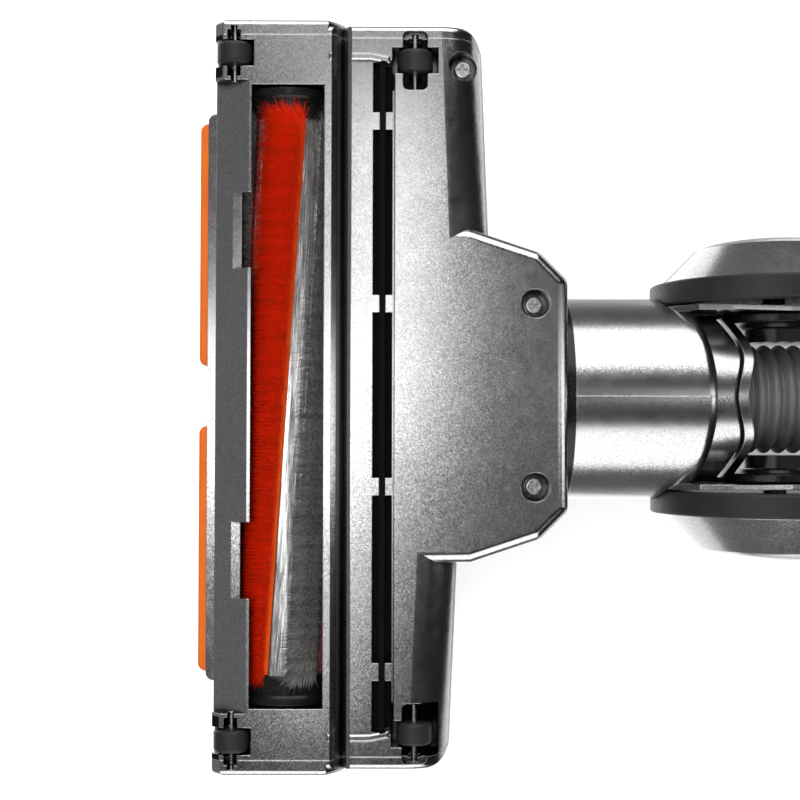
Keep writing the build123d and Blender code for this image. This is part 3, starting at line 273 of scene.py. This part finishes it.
# Silver flake paint, with sizes in metres and scales in cells a metre
SILVER_DARK = (0.29, 0.29, 0.295)
SILVER_LIGHT = (0.43, 0.43, 0.44)
PAINT_ROUGH = 0.20
NECK_ROUGH = 0.235
PAINT_SOCKETS = {"Metallic": 1.0, "Coat Weight": 0.05, "Coat Roughness": 0.08}
PAINT_EDGE = 0.0004
FLAKE_SCALE = 3300.0
FLAKE_TILT = 0.03
CLOUD_SCALE = 55.0
CLOUD_DARK = 0.92
HAZE_SCALE = 240.0
HAZE_DETAIL = 4.0
HAZE_SPREAD = 0.025
HAZE_LOW = 0.25
HAZE_HIGH = 0.75
# Painted shade deep in slots, grooves and holes: how far it reaches, and the colour at its dark and open
# ends
RECESS_SHADE_REACH = 0.005
RECESS_SHADE_DEEP = (0.40, 0.01)
RECESS_SHADE_OPEN = (0.88, 1.0)

# Inside of the fork, darkened, in metres
FORK_Y = 0.0340
FORK_R = 0.0279
CHEEK_INNER = 0.0291
CHEEK_SKIN = 0.0002
FORK_INSIDE_TONE = 0.02

# Painted shade in the roller pockets of the base, in metres: middle and half sizes along x and y
REAR_POCKET = (0.1084, -0.0729, 0.0098, 0.0078)
FRONT_POCKET = (0.1108, -0.1316, 0.0078, 0.0068)
POCKET_FACE = 0.0028
POCKET_ROOF = 0.0120
POCKET_SHADE_TONE = 0.015


def flake_paint(name, rough=PAINT_ROUGH, recess_shade=False, dark_inside=False, pockets=False):
    mat, tree, shader = material(name, PAINT_SOCKETS)
    place = spot(tree)
    cells = add(tree, "ShaderNodeTexVoronoi", {"Vector": place, "Scale": FLAKE_SCALE})
    parts = add(tree, "ShaderNodeSeparateColor", {"Color": cells.outputs["Color"]}).outputs
    colour = ramp(tree, parts[0], (0.0, SILVER_DARK), (1.0, SILVER_LIGHT))
    cloud = ramp(tree, noise(tree, place, CLOUD_SCALE), (LOW, CLOUD_DARK), (HIGH, 1.0))
    colour = multiply(tree, colour, cloud)
    # Painted shade: the colour darkens deep in slots, grooves and holes
    if recess_shade:
        shade = ramp(tree, open_share(tree, RECESS_SHADE_REACH), RECESS_SHADE_DEEP, RECESS_SHADE_OPEN)
        colour = multiply(tree, colour, shade)
    # The inner faces of the fork are darkened
    if dark_inside:
        colour = multiply(tree, colour, dark_fork_inside(tree, place))
    # Painted shade inside the roller pockets
    if pockets:
        colour = multiply(tree, colour, painted_pocket_shade(tree, place))
    tree.links.new(colour, shader.inputs["Base Color"])
    dull, sharp = (HAZE_HIGH, rough + HAZE_SPREAD), (HAZE_LOW, rough - HAZE_SPREAD)
    haze = ramp(tree, noise(tree, place, HAZE_SCALE, HAZE_DETAIL), sharp, dull)
    tree.links.new(haze, shader.inputs["Roughness"])
    tilt = vector_node(tree, "SUBTRACT", cells.outputs["Color"], (0.5, 0.5, 0.5))
    tilt = vector_node(tree, "MULTIPLY", tilt, (FLAKE_TILT,) * 3)
    normal = unit(tree, vector_node(tree, "ADD", soft_edge(tree, PAINT_EDGE), tilt))
    tree.links.new(normal, shader.inputs["Normal"])
    return mat


def dark_fork_inside(tree, place):
    # Dark on the inner faces of the fork
    axes = split(tree, place)
    radius = from_axis(tree, axes, 0, 2, (0.0, HOSE_Z))
    core = math_node(tree, "LESS_THAN", radius, FORK_R)
    side = math_node(tree, "ABSOLUTE", axes[0])
    off = math_node(tree, "ABSOLUTE", math_node(tree, "SUBTRACT", side, CHEEK_INNER))
    cheek = math_node(tree, "LESS_THAN", off, CHEEK_SKIN)
    inner = math_node(tree, "MAXIMUM", core, cheek)
    fork_dark = math_node(tree, "MULTIPLY", inner, math_node(tree, "GREATER_THAN", axes[1], FORK_Y))
    return ramp(tree, fork_dark, (0.0, 1.0), (1.0, FORK_INSIDE_TONE))


def painted_pocket_shade(tree, place):
    # Painted shade: dark inside the roller pockets, starting just past their rims
    axes = split(tree, place)
    side = math_node(tree, "ABSOLUTE", axes[0])
    pockets = []
    for x, y, half_x, half_y in (REAR_POCKET, FRONT_POCKET):
        across = within(tree, side, x, half_x)
        along = within(tree, axes[1], y, half_y)
        pockets.append(math_node(tree, "MULTIPLY", across, along))
    deep = math_node(tree, "GREATER_THAN", axes[2], POCKET_FACE)
    low = math_node(tree, "LESS_THAN", axes[2], POCKET_ROOF)
    height = math_node(tree, "MULTIPLY", deep, low)
    inside = math_node(tree, "MULTIPLY", math_node(tree, "MAXIMUM", *pockets), height)
    return ramp(tree, inside, (0.0, 1.0), (1.0, POCKET_SHADE_TONE))


# Moulded rubber and plastic, with sizes in metres and scales in cells a metre
PATCH_SCALE = 70.0
PATCH_DETAIL = 4.0
GRAIN_SCALE = 900.0
TYRE_GRAIN = 700.0
GRAIN_DEPTH = 0.0002
GRAIN_STRENGTH = 0.12
MOULDED_EDGE = 0.0004
ROUGH_SPREAD = 0.06


def moulded(name, dark, light, rough, grain=GRAIN_SCALE, strength=GRAIN_STRENGTH, specular=0.5):
    mat, tree, shader = material(name, {"Specular IOR Level": specular})
    place = spot(tree)
    patch = noise(tree, place, PATCH_SCALE, PATCH_DETAIL)
    tree.links.new(ramp(tree, patch, (LOW, dark), (HIGH, light)), shader.inputs["Base Color"])
    fine = noise(tree, place, grain)
    spread = ramp(tree, fine, (LOW, rough - ROUGH_SPREAD), (HIGH, rough + ROUGH_SPREAD))
    tree.links.new(spread, shader.inputs["Roughness"])
    normal = bump(tree, fine, strength, GRAIN_DEPTH, soft_edge(tree, MOULDED_EDGE))
    tree.links.new(normal, shader.inputs["Normal"])
    return mat


# Brushed metal
BRUSHED_DETAIL = 4.0
BRUSHED_DARK = 0.86
BRUSHED_ROUGHER = 0.12
BRUSHED_STRENGTH = 0.08
BRUSHED_DEPTH = 0.0001
BRUSHED_EDGE = 0.0003


def brushed(name, colour, rough, stretch):
    mat, tree, shader = material(name, {"Metallic": 1.0})
    place = vector_node(tree, "MULTIPLY", spot(tree), stretch)
    streak = noise(tree, place, 1.0, BRUSHED_DETAIL)
    dark = [BRUSHED_DARK * c for c in colour]
    tree.links.new(ramp(tree, streak, (LOW, dark), (HIGH, colour)), shader.inputs["Base Color"])
    haze = ramp(tree, streak, (LOW, rough), (HIGH, rough + BRUSHED_ROUGHER))
    tree.links.new(haze, shader.inputs["Roughness"])
    normal = bump(tree, streak, BRUSHED_STRENGTH, BRUSHED_DEPTH, soft_edge(tree, BRUSHED_EDGE))
    tree.links.new(normal, shader.inputs["Normal"])
    return mat


# Drawn tube of the roll, with painted reflection bands
CORE_METAL = 0.78
LINE_STRETCH = 3.0
LINE_SCALE = 26.0
LINE_DETAIL = 5.0
LINE_FALL = 0.65
LINE_AND_REFLECTION_DARK = (0.36, 0.20)
LINE_AND_REFLECTION_LIGHT = (0.64, 0.95)
LINE_SHARP = 0.14
LINE_DULL = 0.30
LINE_STRENGTH = 0.10
LINE_DEPTH = 0.0002


def drawn_core_and_reflections(name):
    # Polished tube: fine drawing lines follow the twist round the roll; their strong light and dark in
    # the colour is painted reflection
    mat, tree, shader = material(name, {"Metallic": CORE_METAL})
    axes = split(tree, spot(tree))
    y = math_node(tree, "SUBTRACT", axes[1], BRUSH_Y)
    z = math_node(tree, "SUBTRACT", axes[2], BRUSH_Z)
    turn = math_node(tree, "ARCTAN2", y, z)
    lean = math_node(tree, "MULTIPLY", axes[0], TWIST / (2 * STRIP_HALF))
    around = math_node(tree, "SUBTRACT", turn, lean)
    along = math_node(tree, "MULTIPLY", axes[0], LINE_STRETCH)
    line = add(tree, "ShaderNodeCombineXYZ", {0: around, 1: along}).outputs[0]
    streak = noise(tree, line, LINE_SCALE, LINE_DETAIL, LINE_FALL)
    # Painted reflection: bright and dark bands along the twist in the colour
    tree.links.new(ramp(tree, streak, LINE_AND_REFLECTION_DARK, LINE_AND_REFLECTION_LIGHT), shader.inputs["Base Color"])
    haze = ramp(tree, streak, (LOW, LINE_SHARP), (HIGH, LINE_DULL))
    tree.links.new(haze, shader.inputs["Roughness"])
    tree.links.new(bump(tree, streak, LINE_STRENGTH, LINE_DEPTH), shader.inputs["Normal"])
    return mat


# Bristles
BRISTLE_SOCKETS = {"Roughness": 0.6, "Specular IOR Level": 0.05}
BODY_FROM = 0.45
BODY_TO = 0.85
TONE_FULL = 0.8
HAIR_NORMAL = 0.5


def bristle(name, root, body, tip, dull):
    # Colour runs from the root to the tip, with each hair a little lighter or darker
    mat, tree, shader = material(name, BRISTLE_SOCKETS)
    axes = split(tree, spot(tree))
    radius = from_axis(tree, axes, 1, 2, (BRUSH_Y, BRUSH_Z))
    reach = {"Value": radius, "From Min": CORE_R, "From Max": TIP_R}
    along = add(tree, "ShaderNodeMapRange", reach).outputs[0]
    shade = ramp(tree, along, (0.0, root), (BODY_FROM, body), (BODY_TO, body), (1.0, tip))
    tone = add(tree, "ShaderNodeAttribute", attribute_name="tone").outputs["Fac"]
    strand = ramp(tree, tone, (0.0, dull), (TONE_FULL, 1.0))
    tree.links.new(multiply(tree, shade, strand), shader.inputs["Base Color"])
    # The pile shades as one soft surface: each hair's normal is drawn towards the way the hair points
    lie = add(tree, "ShaderNodeAttribute", attribute_name="lie").outputs["Vector"]
    turn = {"vector_type": "NORMAL", "convert_from": "OBJECT", "convert_to": "WORLD"}
    out = add(tree, "ShaderNodeVectorTransform", {0: lie}, **turn).outputs[0]
    hair = add(tree, "ShaderNodeNewGeometry").outputs["Normal"]
    mixed = vector_node(tree, "ADD", vector_node(tree, "MULTIPLY", hair, (HAIR_NORMAL,) * 3), out)
    tree.links.new(unit(tree, mixed), shader.inputs["Normal"])
    return mat


# Finishes: dark and light colour and roughness, or colour, roughness and grain direction
SILVER = flake_paint("silver_flake_paint")
HEAD_SILVER = flake_paint("head_flake_paint", recess_shade=True)
BASE_SILVER = flake_paint("base_flake_paint", recess_shade=True, pockets=True)
NECK_SILVER = flake_paint("neck_flake_paint", NECK_ROUGH, dark_inside=True)
ORANGE = moulded("orange_rubber", (0.68, 0.127, 0.0085), (0.765, 0.16, 0.012), 0.48, specular=0.2)
BLACK_RUBBER = moulded("black_rubber", (0.012, 0.012, 0.012), (0.024, 0.024, 0.025), 0.50)
# The blade's rubber is a darker copy of the black rubber: painted shade for the slot it sits in
SHADED_BLADE = moulded("shaded_blade_rubber", (0.0015,) * 3, (0.003,) * 3, 0.60, specular=0.05)
HOSE = moulded("hose_rubber", (0.10, 0.10, 0.102), (0.15, 0.15, 0.153), 0.38)
TYRE = moulded("tyre_rubber", (0.009,) * 3, (0.016,) * 3, 0.50, TYRE_GRAIN, strength=0.2, specular=0.3)
PLASTIC = moulded("black_plastic", (0.004, 0.004, 0.0042), (0.009, 0.009, 0.0095), 0.26, specular=0.22)
STEEL = brushed("bright_steel", (0.62, 0.62, 0.63), 0.18, (40.0, 900.0, 900.0))
SCREW = brushed("dark_screw", (0.50, 0.50, 0.51), 0.22, (600.0, 600.0, 600.0))
CAN = brushed("motor_can", (0.33, 0.33, 0.34), 0.35, (60.0, 700.0, 700.0))
BRASS = brushed("contact_brass", (0.80, 0.58, 0.25), 0.22, (500.0, 500.0, 500.0))
CORE = drawn_core_and_reflections("roll_aluminium")
RED = bristle(
    "red_bristle",
    root=(0.90, 0.20, 0.020),
    body=(0.98, 0.022, 0.0010),
    tip=(0.97, 0.034, 0.0020),
    dull=(0.48, 0.85, 0.85),
)
GREY = bristle(
    "grey_bristle",
    root=(0.08, 0.078, 0.075),
    body=(0.34, 0.33, 0.32),
    tip=(0.80, 0.79, 0.78),
    dull=0.10,
)

FINISHES = {
    "silver_casing": SILVER,
    "orange_rubber": ORANGE,
    "black_rubber": BLACK_RUBBER,
    "tyre_rubber": TYRE,
    "black_plastic": PLASTIC,
    "steel": STEEL,
    "roll_aluminium": CORE,
    "red_bristle": RED,
    "grey_bristle": GREY,
    "motor_can": CAN,
    "contact_brass": BRASS,
}
OWN_FINISH = {
    "cover_screws": SCREW,
    "rubber_blade": SHADED_BLADE,
    "base_plate": BASE_SILVER,
    "top_cover": HEAD_SILVER,
    "neck_shell_right": NECK_SILVER,
    "neck_shell_left": NECK_SILVER,
}

for part in frame["record"]["subparts"]:
    node = nodes[part["node"]]
    node.data.materials.clear()
    node.data.materials.append(OWN_FINISH.get(part["node"], FINISHES[part["material_slot"]]))


# Mesh helpers
def mesh_object(name, verts, faces, mat, smooth=True):
    mesh = bpy.data.meshes.new(name)
    verts = np.asarray(verts, np.float32)
    faces = np.asarray(faces, np.int32)
    sides = faces.shape[1]
    mesh.vertices.add(len(verts))
    mesh.vertices.foreach_set("co", verts.ravel())
    mesh.loops.add(faces.size)
    mesh.loops.foreach_set("vertex_index", faces.ravel())
    mesh.polygons.add(len(faces))
    mesh.polygons.foreach_set("loop_start", np.arange(0, faces.size, sides, dtype=np.int32))
    mesh.polygons.foreach_set("use_smooth", np.full(len(faces), smooth))
    mesh.update(calc_edges=True)
    mesh.validate()
    mesh.materials.append(mat)
    piece = bpy.data.objects.new(name, mesh)
    bpy.context.scene.collection.objects.link(piece)
    return piece


def full_turn(count):
    return np.linspace(0, 2 * math.pi, count, endpoint=False)


def turned_faces(rows, around, along_first):
    # Quads of a closed profile turned through a full circle
    faces = []
    for i in range(rows):
        for k in range(around):
            a, b = i * around + k, i * around + (k + 1) % around
            c, d = ((i + 1) % rows) * around + k, ((i + 1) % rows) * around + (k + 1) % around
            faces.append((a, c, d, b) if along_first else (a, b, d, c))
    return faces


def scatter(seed, step):
    # A repeatable number from 0 to 1 for each seed
    value = np.sin(seed * step) * SCATTER_GAIN
    return value - np.floor(value)


def unit_rows(vectors):
    return vectors / np.linalg.norm(vectors, axis=1, keepdims=True)


# Bristle strips
def on_roll(x, angle, radius):
    turn = angle + TWIST * (x + STRIP_HALF) / (2 * STRIP_HALF)
    return np.stack([x, BRUSH_Y + radius * np.sin(turn), BRUSH_Z + radius * np.cos(turn)], -1)


def clumped(value, other, size):
    # Draws each place towards the middle of its own tuft
    column, row = np.floor(value / size), np.floor(other / size)
    tuft = column.astype(int) * TUFT_PRIMES[0] + row.astype(int) * TUFT_PRIMES[1]
    middle = (column + 0.5 + 0.5 * (scatter(tuft, TUFT_STEP) - 0.5)) * size
    return value + CLUMP_PULL * (middle - value)


def hair_ring(points, line):
    # Points round each root, square to the hair
    side = unit_rows(np.cross(line, HAIR_SIDE_HINT))
    other = np.cross(line, side)
    spin = rng.uniform(0, 2 * math.pi, len(points))
    ring = []
    for k in range(HAIR_SIDES):
        a = (spin + k * 2 * math.pi / HAIR_SIDES)[:, None]
        ring.append(points + HAIR_ROOT * (np.cos(a) * side + np.sin(a) * other))
    return ring


def bristle_hairs(start, reach):
    # Tapered hairs from the root line to leaning tips: points, faces, way of each hair, and lightness
    x = rng.uniform(-STRIP_HALF, STRIP_HALF, HAIRS)
    across = rng.uniform(-1.0, 1.0, HAIRS)
    root = on_roll(x, start + across * STRIP_ROOT_HALF / ROOT_R, np.full(HAIRS, ROOT_R))
    near_end = np.clip((np.abs(x) - STRIP_HALF + END_REACH) / END_REACH, 0.0, 1.0) ** 2 * np.sign(x)
    jitter = TIP_JITTER + LOOSE_JITTER * (x + STRIP_HALF) / (2 * STRIP_HALF)
    loose = (rng.random(HAIRS) < FLYAWAY_SHARE) & (across > FLYAWAY_FROM)
    jitter *= np.where(loose, FLYAWAY, 1.0)
    tip_x = x + near_end * END_FAN + rng.normal(0.0, 1.0, HAIRS) * jitter
    lean = TIP_NEAR + 0.5 * (across + 1.0) * (reach - TIP_NEAR)
    tip_a = lean + rng.normal(0.0, 1.0, HAIRS) * jitter
    tip_a += FRINGE * np.clip(across, 0.0, 1.0) ** 3 * np.abs(rng.normal(0.0, 1.0, HAIRS))
    tip_x, tip_a = clumped(tip_x, tip_a, CLUMP), clumped(tip_a, tip_x, CLUMP)
    tip_x = np.clip(tip_x, -TIP_X_MAX, TIP_X_MAX)
    length = 1.0 - LENGTH_SPREAD * rng.random(HAIRS) ** 2
    crown = PILE_CROWN * np.maximum(np.abs(across), np.abs(near_end)) ** CROWN_POWER
    tip = on_roll(tip_x, start + tip_a / TIP_R, ROOT_R + (TIP_R - crown - ROOT_R) * length)
    line = unit_rows(tip - root)
    verts = np.stack(hair_ring(root, line) + [tip], 1).reshape(-1, 3)
    first = np.arange(HAIRS) * (HAIR_SIDES + 1)
    sides = [(first + i, first + (i + 1) % HAIR_SIDES, first + HAIR_SIDES) for i in range(HAIR_SIDES)]
    faces = np.concatenate([np.stack(side, 1) for side in sides])
    streak = scatter(np.floor(tip_x / STREAK) + start, STRAND_STEP)
    tone = HAIR_TONE * rng.random(HAIRS) + STREAK_TONE * streak
    tone -= EDGE_DULL * np.abs(across) ** EDGE_POWER
    return verts, faces, line, tone


def bristle_bed(start):
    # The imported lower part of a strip, closed at both ends
    x = np.linspace(-STRIP_HALF, STRIP_HALF, BED_STEPS)
    flank = 0.5 * (ROOT_R + BED_R)
    loop = [(-1.0, ROOT_R), (-BED_BULGE, flank)]
    for t in np.linspace(-BED_TURN, BED_TURN, BED_SIDES - 4):
        loop.append((BED_SPREAD * math.sin(t), BED_R - BED_DROP * abs(math.sin(t))))
    loop += [(BED_BULGE, flank), (1.0, ROOT_R)]
    rows = []
    for share, radius in loop:
        angle = start + share * STRIP_ROOT_HALF / ROOT_R
        rows.append(on_roll(x, np.full(BED_STEPS, angle), np.full(BED_STEPS, radius)))
    verts = np.stack(rows, 1).reshape(-1, 3)
    faces = []
    for i in range(BED_STEPS - 1):
        for k in range(BED_SIDES):
            a, b = i * BED_SIDES + k, i * BED_SIDES + (k + 1) % BED_SIDES
            faces += [(a, b, a + BED_SIDES), (b, b + BED_SIDES, a + BED_SIDES)]
    last = (BED_STEPS - 1) * BED_SIDES
    for k in range(1, BED_SIDES - 1):
        faces += [(0, k + 1, k), (last, last + k, last + k + 1)]
    return verts, np.array(faces)


def bristle_strip(name, start, reach, mat, node):
    hair_verts, hair_faces, hair_line, hair_tone = bristle_hairs(start, reach)
    bed_verts, bed_faces = bristle_bed(start)
    verts = np.concatenate([hair_verts, bed_verts])
    faces = np.concatenate([hair_faces, bed_faces + len(hair_verts)])
    piece = mesh_object(name, verts, faces, mat)
    points = HAIR_SIDES + 1
    tones = np.concatenate([np.repeat(hair_tone, points), np.full(len(bed_verts), BED_TONE)])
    bed_line = bed_verts - (0.0, BRUSH_Y, BRUSH_Z)
    bed_line[:, 0] = 0.0
    lines = np.concatenate([np.repeat(hair_line, points, axis=0), unit_rows(bed_line)])
    shades = piece.data.attributes.new("tone", "FLOAT", "POINT")
    shades.data.foreach_set("value", tones.astype(np.float32))
    ways = piece.data.attributes.new("lie", "FLOAT_VECTOR", "POINT")
    ways.data.foreach_set("vector", lines.astype(np.float32).ravel())
    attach(piece, "brush")
    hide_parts(node)


for i in range(STRIPS_PER_COLOUR):
    step = 2 * math.pi / STRIPS_PER_COLOUR
    red, grey = RED_START + i * step, RED_START + (i + 0.5) * step
    bristle_strip(f"red_pile_{i}", red, RED_REACH, RED, "bristle_strips_red")
    bristle_strip(f"grey_pile_{i}", grey, GREY_REACH, GREY, "bristle_strips_grey")


# Corrugated hose
def hose():
    first = (HOSE_START_Y + HOSE_END_Y - HOSE_RIBS * HOSE_PITCH) / 2
    last = HOSE_END_Y - (first - HOSE_START_Y)
    profile = [(HOSE_START_Y, HOSE_ROOT), (first - HOSE_LAND, HOSE_ROOT)]
    for k in np.linspace(0, HOSE_RIBS, HOSE_RIBS * HOSE_RIB_POINTS + 1):
        wave = (0.5 - 0.5 * math.cos(2 * math.pi * k)) ** HOSE_FULLNESS
        profile.append((first + k * HOSE_PITCH, HOSE_ROOT + (HOSE_R - HOSE_ROOT) * wave))
    profile += [(last + HOSE_LAND, HOSE_ROOT), (HOSE_END_Y, HOSE_ROOT)]
    profile += [(y, HOSE_BORE) for y in np.linspace(HOSE_END_Y, HOSE_START_Y, HOSE_BORE_POINTS)]
    turn = full_turn(HOSE_AROUND)
    verts = [[(r * math.cos(t), y, HOSE_Z + r * math.sin(t)) for t in turn] for y, r in profile]
    faces = turned_faces(len(profile), HOSE_AROUND, True)
    piece = mesh_object("corrugated_hose_soft", np.reshape(verts, (-1, 3)), faces, HOSE)
    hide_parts("corrugated_hose")
    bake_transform(piece)


hose()


# Fork bosses
def fork_boss(name, side):
    # A turned ring round the stub axle with rounded edges and a raised land
    bend = np.linspace(0, math.pi / 2, BOSS_BEND_POINTS)
    step = BOSS_IN + BOSS_STEP
    rim = BOSS_R - BOSS_EDGE
    profile = [(BOSS_BORE, BOSS_OUT), (BOSS_BORE, BOSS_IN)]
    profile += [(BOSS_LAND, BOSS_IN), (BOSS_LAND + BOSS_EDGE, step)]
    profile += [(rim + BOSS_EDGE * math.sin(t), step + BOSS_EDGE * (1 - math.cos(t))) for t in bend]
    profile += [(rim + BOSS_EDGE * math.cos(t), BOSS_OUT - BOSS_EDGE * (1 - math.sin(t))) for t in bend]
    verts = []
    for r, x in profile:
        for t in full_turn(BOSS_AROUND):
            verts.append((side * x, AXLE_Y + r * math.cos(t), HOSE_Z + r * math.sin(t)))
    faces = turned_faces(len(profile), BOSS_AROUND, side < 0)
    piece = mesh_object(name, verts, faces, PLASTIC, False)
    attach(piece, "neck")


fork_boss("fork_boss_right", 1)
fork_boss("fork_boss_left", -1)

# Stage, in metres
FLOOR_HALF = 6.0
FLOOR_TONE = 0.50
FLOOR_GLOW = 0.45
BACKDROP_HALF = 3.0
BACKDROP_TONE = 0.90
BACKDROP_GLOW = 0.35
BACKDROP_GAP = 0.001


# Floor below and backdrop above: each is pale from its own side and clear from the other
def pale_plane(name, height, facing, half, tone, lift):
    mat = bpy.data.materials.new(name)
    mat.use_nodes = True
    tree = mat.node_tree
    tree.nodes.remove(tree.nodes["Principled BSDF"])
    diffuse = add(tree, "ShaderNodeBsdfDiffuse", {"Color": (tone, tone, tone, 1.0)})
    glow = add(tree, "ShaderNodeEmission", {"Color": (1.0, 1.0, 1.0, 1.0), "Strength": lift})
    pale = add(tree, "ShaderNodeAddShader", {0: diffuse.outputs[0], 1: glow.outputs[0]})
    clear = add(tree, "ShaderNodeBsdfTransparent")
    back = add(tree, "ShaderNodeNewGeometry").outputs["Backfacing"]
    mix = add(tree, "ShaderNodeMixShader", {0: back, 1: pale.outputs[0], 2: clear.outputs[0]})
    tree.links.new(mix.outputs[0], tree.nodes["Material Output"].inputs["Surface"])
    corners = [(-half, -half, height), (half, -half, height), (half, half, height), (-half, half, height)]
    order = (0, 1, 2, 3) if facing > 0 else (3, 2, 1, 0)
    plane = mesh_object(name, corners, [order], mat, False)
    for kind in ("diffuse", "glossy", "transmission", "shadow", "volume_scatter"):
        setattr(plane, "visible_" + kind, False)


pale_plane("floor", 0.0, 1, FLOOR_HALF, FLOOR_TONE, FLOOR_GLOW)
pale_plane("backdrop", cad_box[1][2] + BACKDROP_GAP, -1, BACKDROP_HALF, BACKDROP_TONE, BACKDROP_GLOW)


# Lamps, in metres and watts: those under the floor light the underside, the others the top
def lamp(name, at, aim, size, watts):
    light = bpy.data.lights.new(name, "AREA")
    light.shape = "RECTANGLE"
    light.size, light.size_y = size
    light.energy = watts
    piece = bpy.data.objects.new(name, light)
    bpy.context.scene.collection.objects.link(piece)
    piece.location = at
    piece.rotation_euler = (Vector(aim) - Vector(at)).to_track_quat("-Z", "X").to_euler()


lamp("under_near", (0.125, -0.088, -0.52), aim=(0.045, -0.09, 0.0), size=(0.20, 0.08), watts=0.18)
lamp("under_mid", (-0.02, -0.110, -0.52), aim=(0.0, -0.09, 0.0), size=(0.12, 0.07), watts=0.085)
lamp("under_low", (-0.14, -0.125, -0.52), aim=(-0.045, -0.10, 0.0), size=(0.14, 0.05), watts=0.055)
lamp("under_fill", (0.0, -0.075, -0.53), aim=(0.0, -0.075, 0.0), size=(0.80, 0.25), watts=0.08)
lamp("under_end", (0.30, -0.10, -0.52), aim=(0.09, -0.09, 0.0), size=(0.14, 0.20), watts=0.06)
lamp("under_front", (0.0, -0.36, -0.56), aim=(0.0, -0.11, 0.01), size=(0.50, 0.16), watts=1.0)
lamp("under_rear", (0.03, 0.27, -0.45), aim=(0.0, -0.08, 0.02), size=(0.42, 0.08), watts=0.20)
lamp("under_right", (0.64, -0.02, -0.36), aim=(0.0, 0.0, 0.03), size=(0.76, 0.80), watts=7.0)
lamp("under_left", (-0.64, -0.02, -0.36), aim=(0.0, 0.0, 0.03), size=(0.72, 0.80), watts=5.6)
lamp("under_neck", (0.0, 0.42, -0.19), aim=(0.0, 0.03, 0.02), size=(0.30, 0.10), watts=0.30)
lamp("rear_right", (0.65, 0.70, 0.60), aim=(0.0, 0.03, 0.03), size=(0.90, 0.90), watts=3.0)
lamp("rear_left", (-0.65, 0.70, 0.60), aim=(0.0, 0.03, 0.03), size=(0.90, 0.90), watts=3.0)
lamp("key_top", (0.55, -0.65, 0.95), aim=(0.0, 0.0, 0.02), size=(1.30, 1.30), watts=9.0)
lamp("fill_top", (-0.45, -0.35, 1.05), aim=(0.0, 0.0, 0.02), size=(1.30, 1.30), watts=6.0)

# World: how strongly each heading shines
WORLD_TONE = (0.90, 0.90, 0.90, 1.0)
ROOM_BRIGHT_SIDE = (0.0, -0.75, 0.66)
ROOM_RANGE = {"From Min": -0.5, "From Max": 0.6, "To Min": 0.02, "To Max": 0.36}
OVERHEAD = (0.0, -0.25, 0.97)
OVERHEAD_RANGE = {"From Min": 0.25, "From Max": 1.0}


def towards(tree, heading, direction, span):
    inputs = {0: heading, 1: direction}
    facing = add(tree, "ShaderNodeVectorMath", inputs, operation="DOT_PRODUCT").outputs["Value"]
    return add(tree, "ShaderNodeMapRange", {"Value": facing, **span}).outputs[0]


def studio_world():
    # Dim below and behind, brighter above and in front, white to the camera and, overhead, to gloss
    world = bpy.data.worlds.new("studio")
    world.use_nodes = True
    bpy.context.scene.world = world
    tree = world.node_tree
    ground = tree.nodes["Background"]
    ground.inputs["Color"].default_value = WORLD_TONE
    heading = add(tree, "ShaderNodeTexCoord").outputs["Generated"]
    room = towards(tree, heading, ROOM_BRIGHT_SIDE, ROOM_RANGE)
    overhead = towards(tree, heading, OVERHEAD, OVERHEAD_RANGE)
    ray = add(tree, "ShaderNodeLightPath").outputs
    mirrored = math_node(tree, "MAXIMUM", ray["Is Glossy Ray"], ray["Is Transmission Ray"])
    mirrored = math_node(tree, "MULTIPLY", mirrored, overhead)
    seen = math_node(tree, "MAXIMUM", ray["Is Camera Ray"], mirrored)
    strength = math_node(tree, "MAXIMUM", room, seen)
    tree.links.new(strength, ground.inputs["Strength"])


def photo_camera():
    camera = bpy.data.cameras.new("camera")
    camera.sensor_width = SENSOR_MM
    camera.lens = FOCAL_PX * SENSOR_MM / IMAGE_PX
    camera.clip_start = CLIP_START
    eye = bpy.data.objects.new("camera", camera)
    bpy.context.scene.collection.objects.link(eye)
    right = Vector(CAMERA_RIGHT).normalized()
    up = Vector(CAMERA_UP).normalized()
    turned = Matrix((right, up, right.cross(up))).transposed()
    eye.matrix_world = Matrix.Translation(CAMERA_SPOT) @ turned.to_4x4()
    bpy.context.scene.camera = eye


studio_world()
photo_camera()
bpy.context.scene.view_settings.view_transform = "Standard"
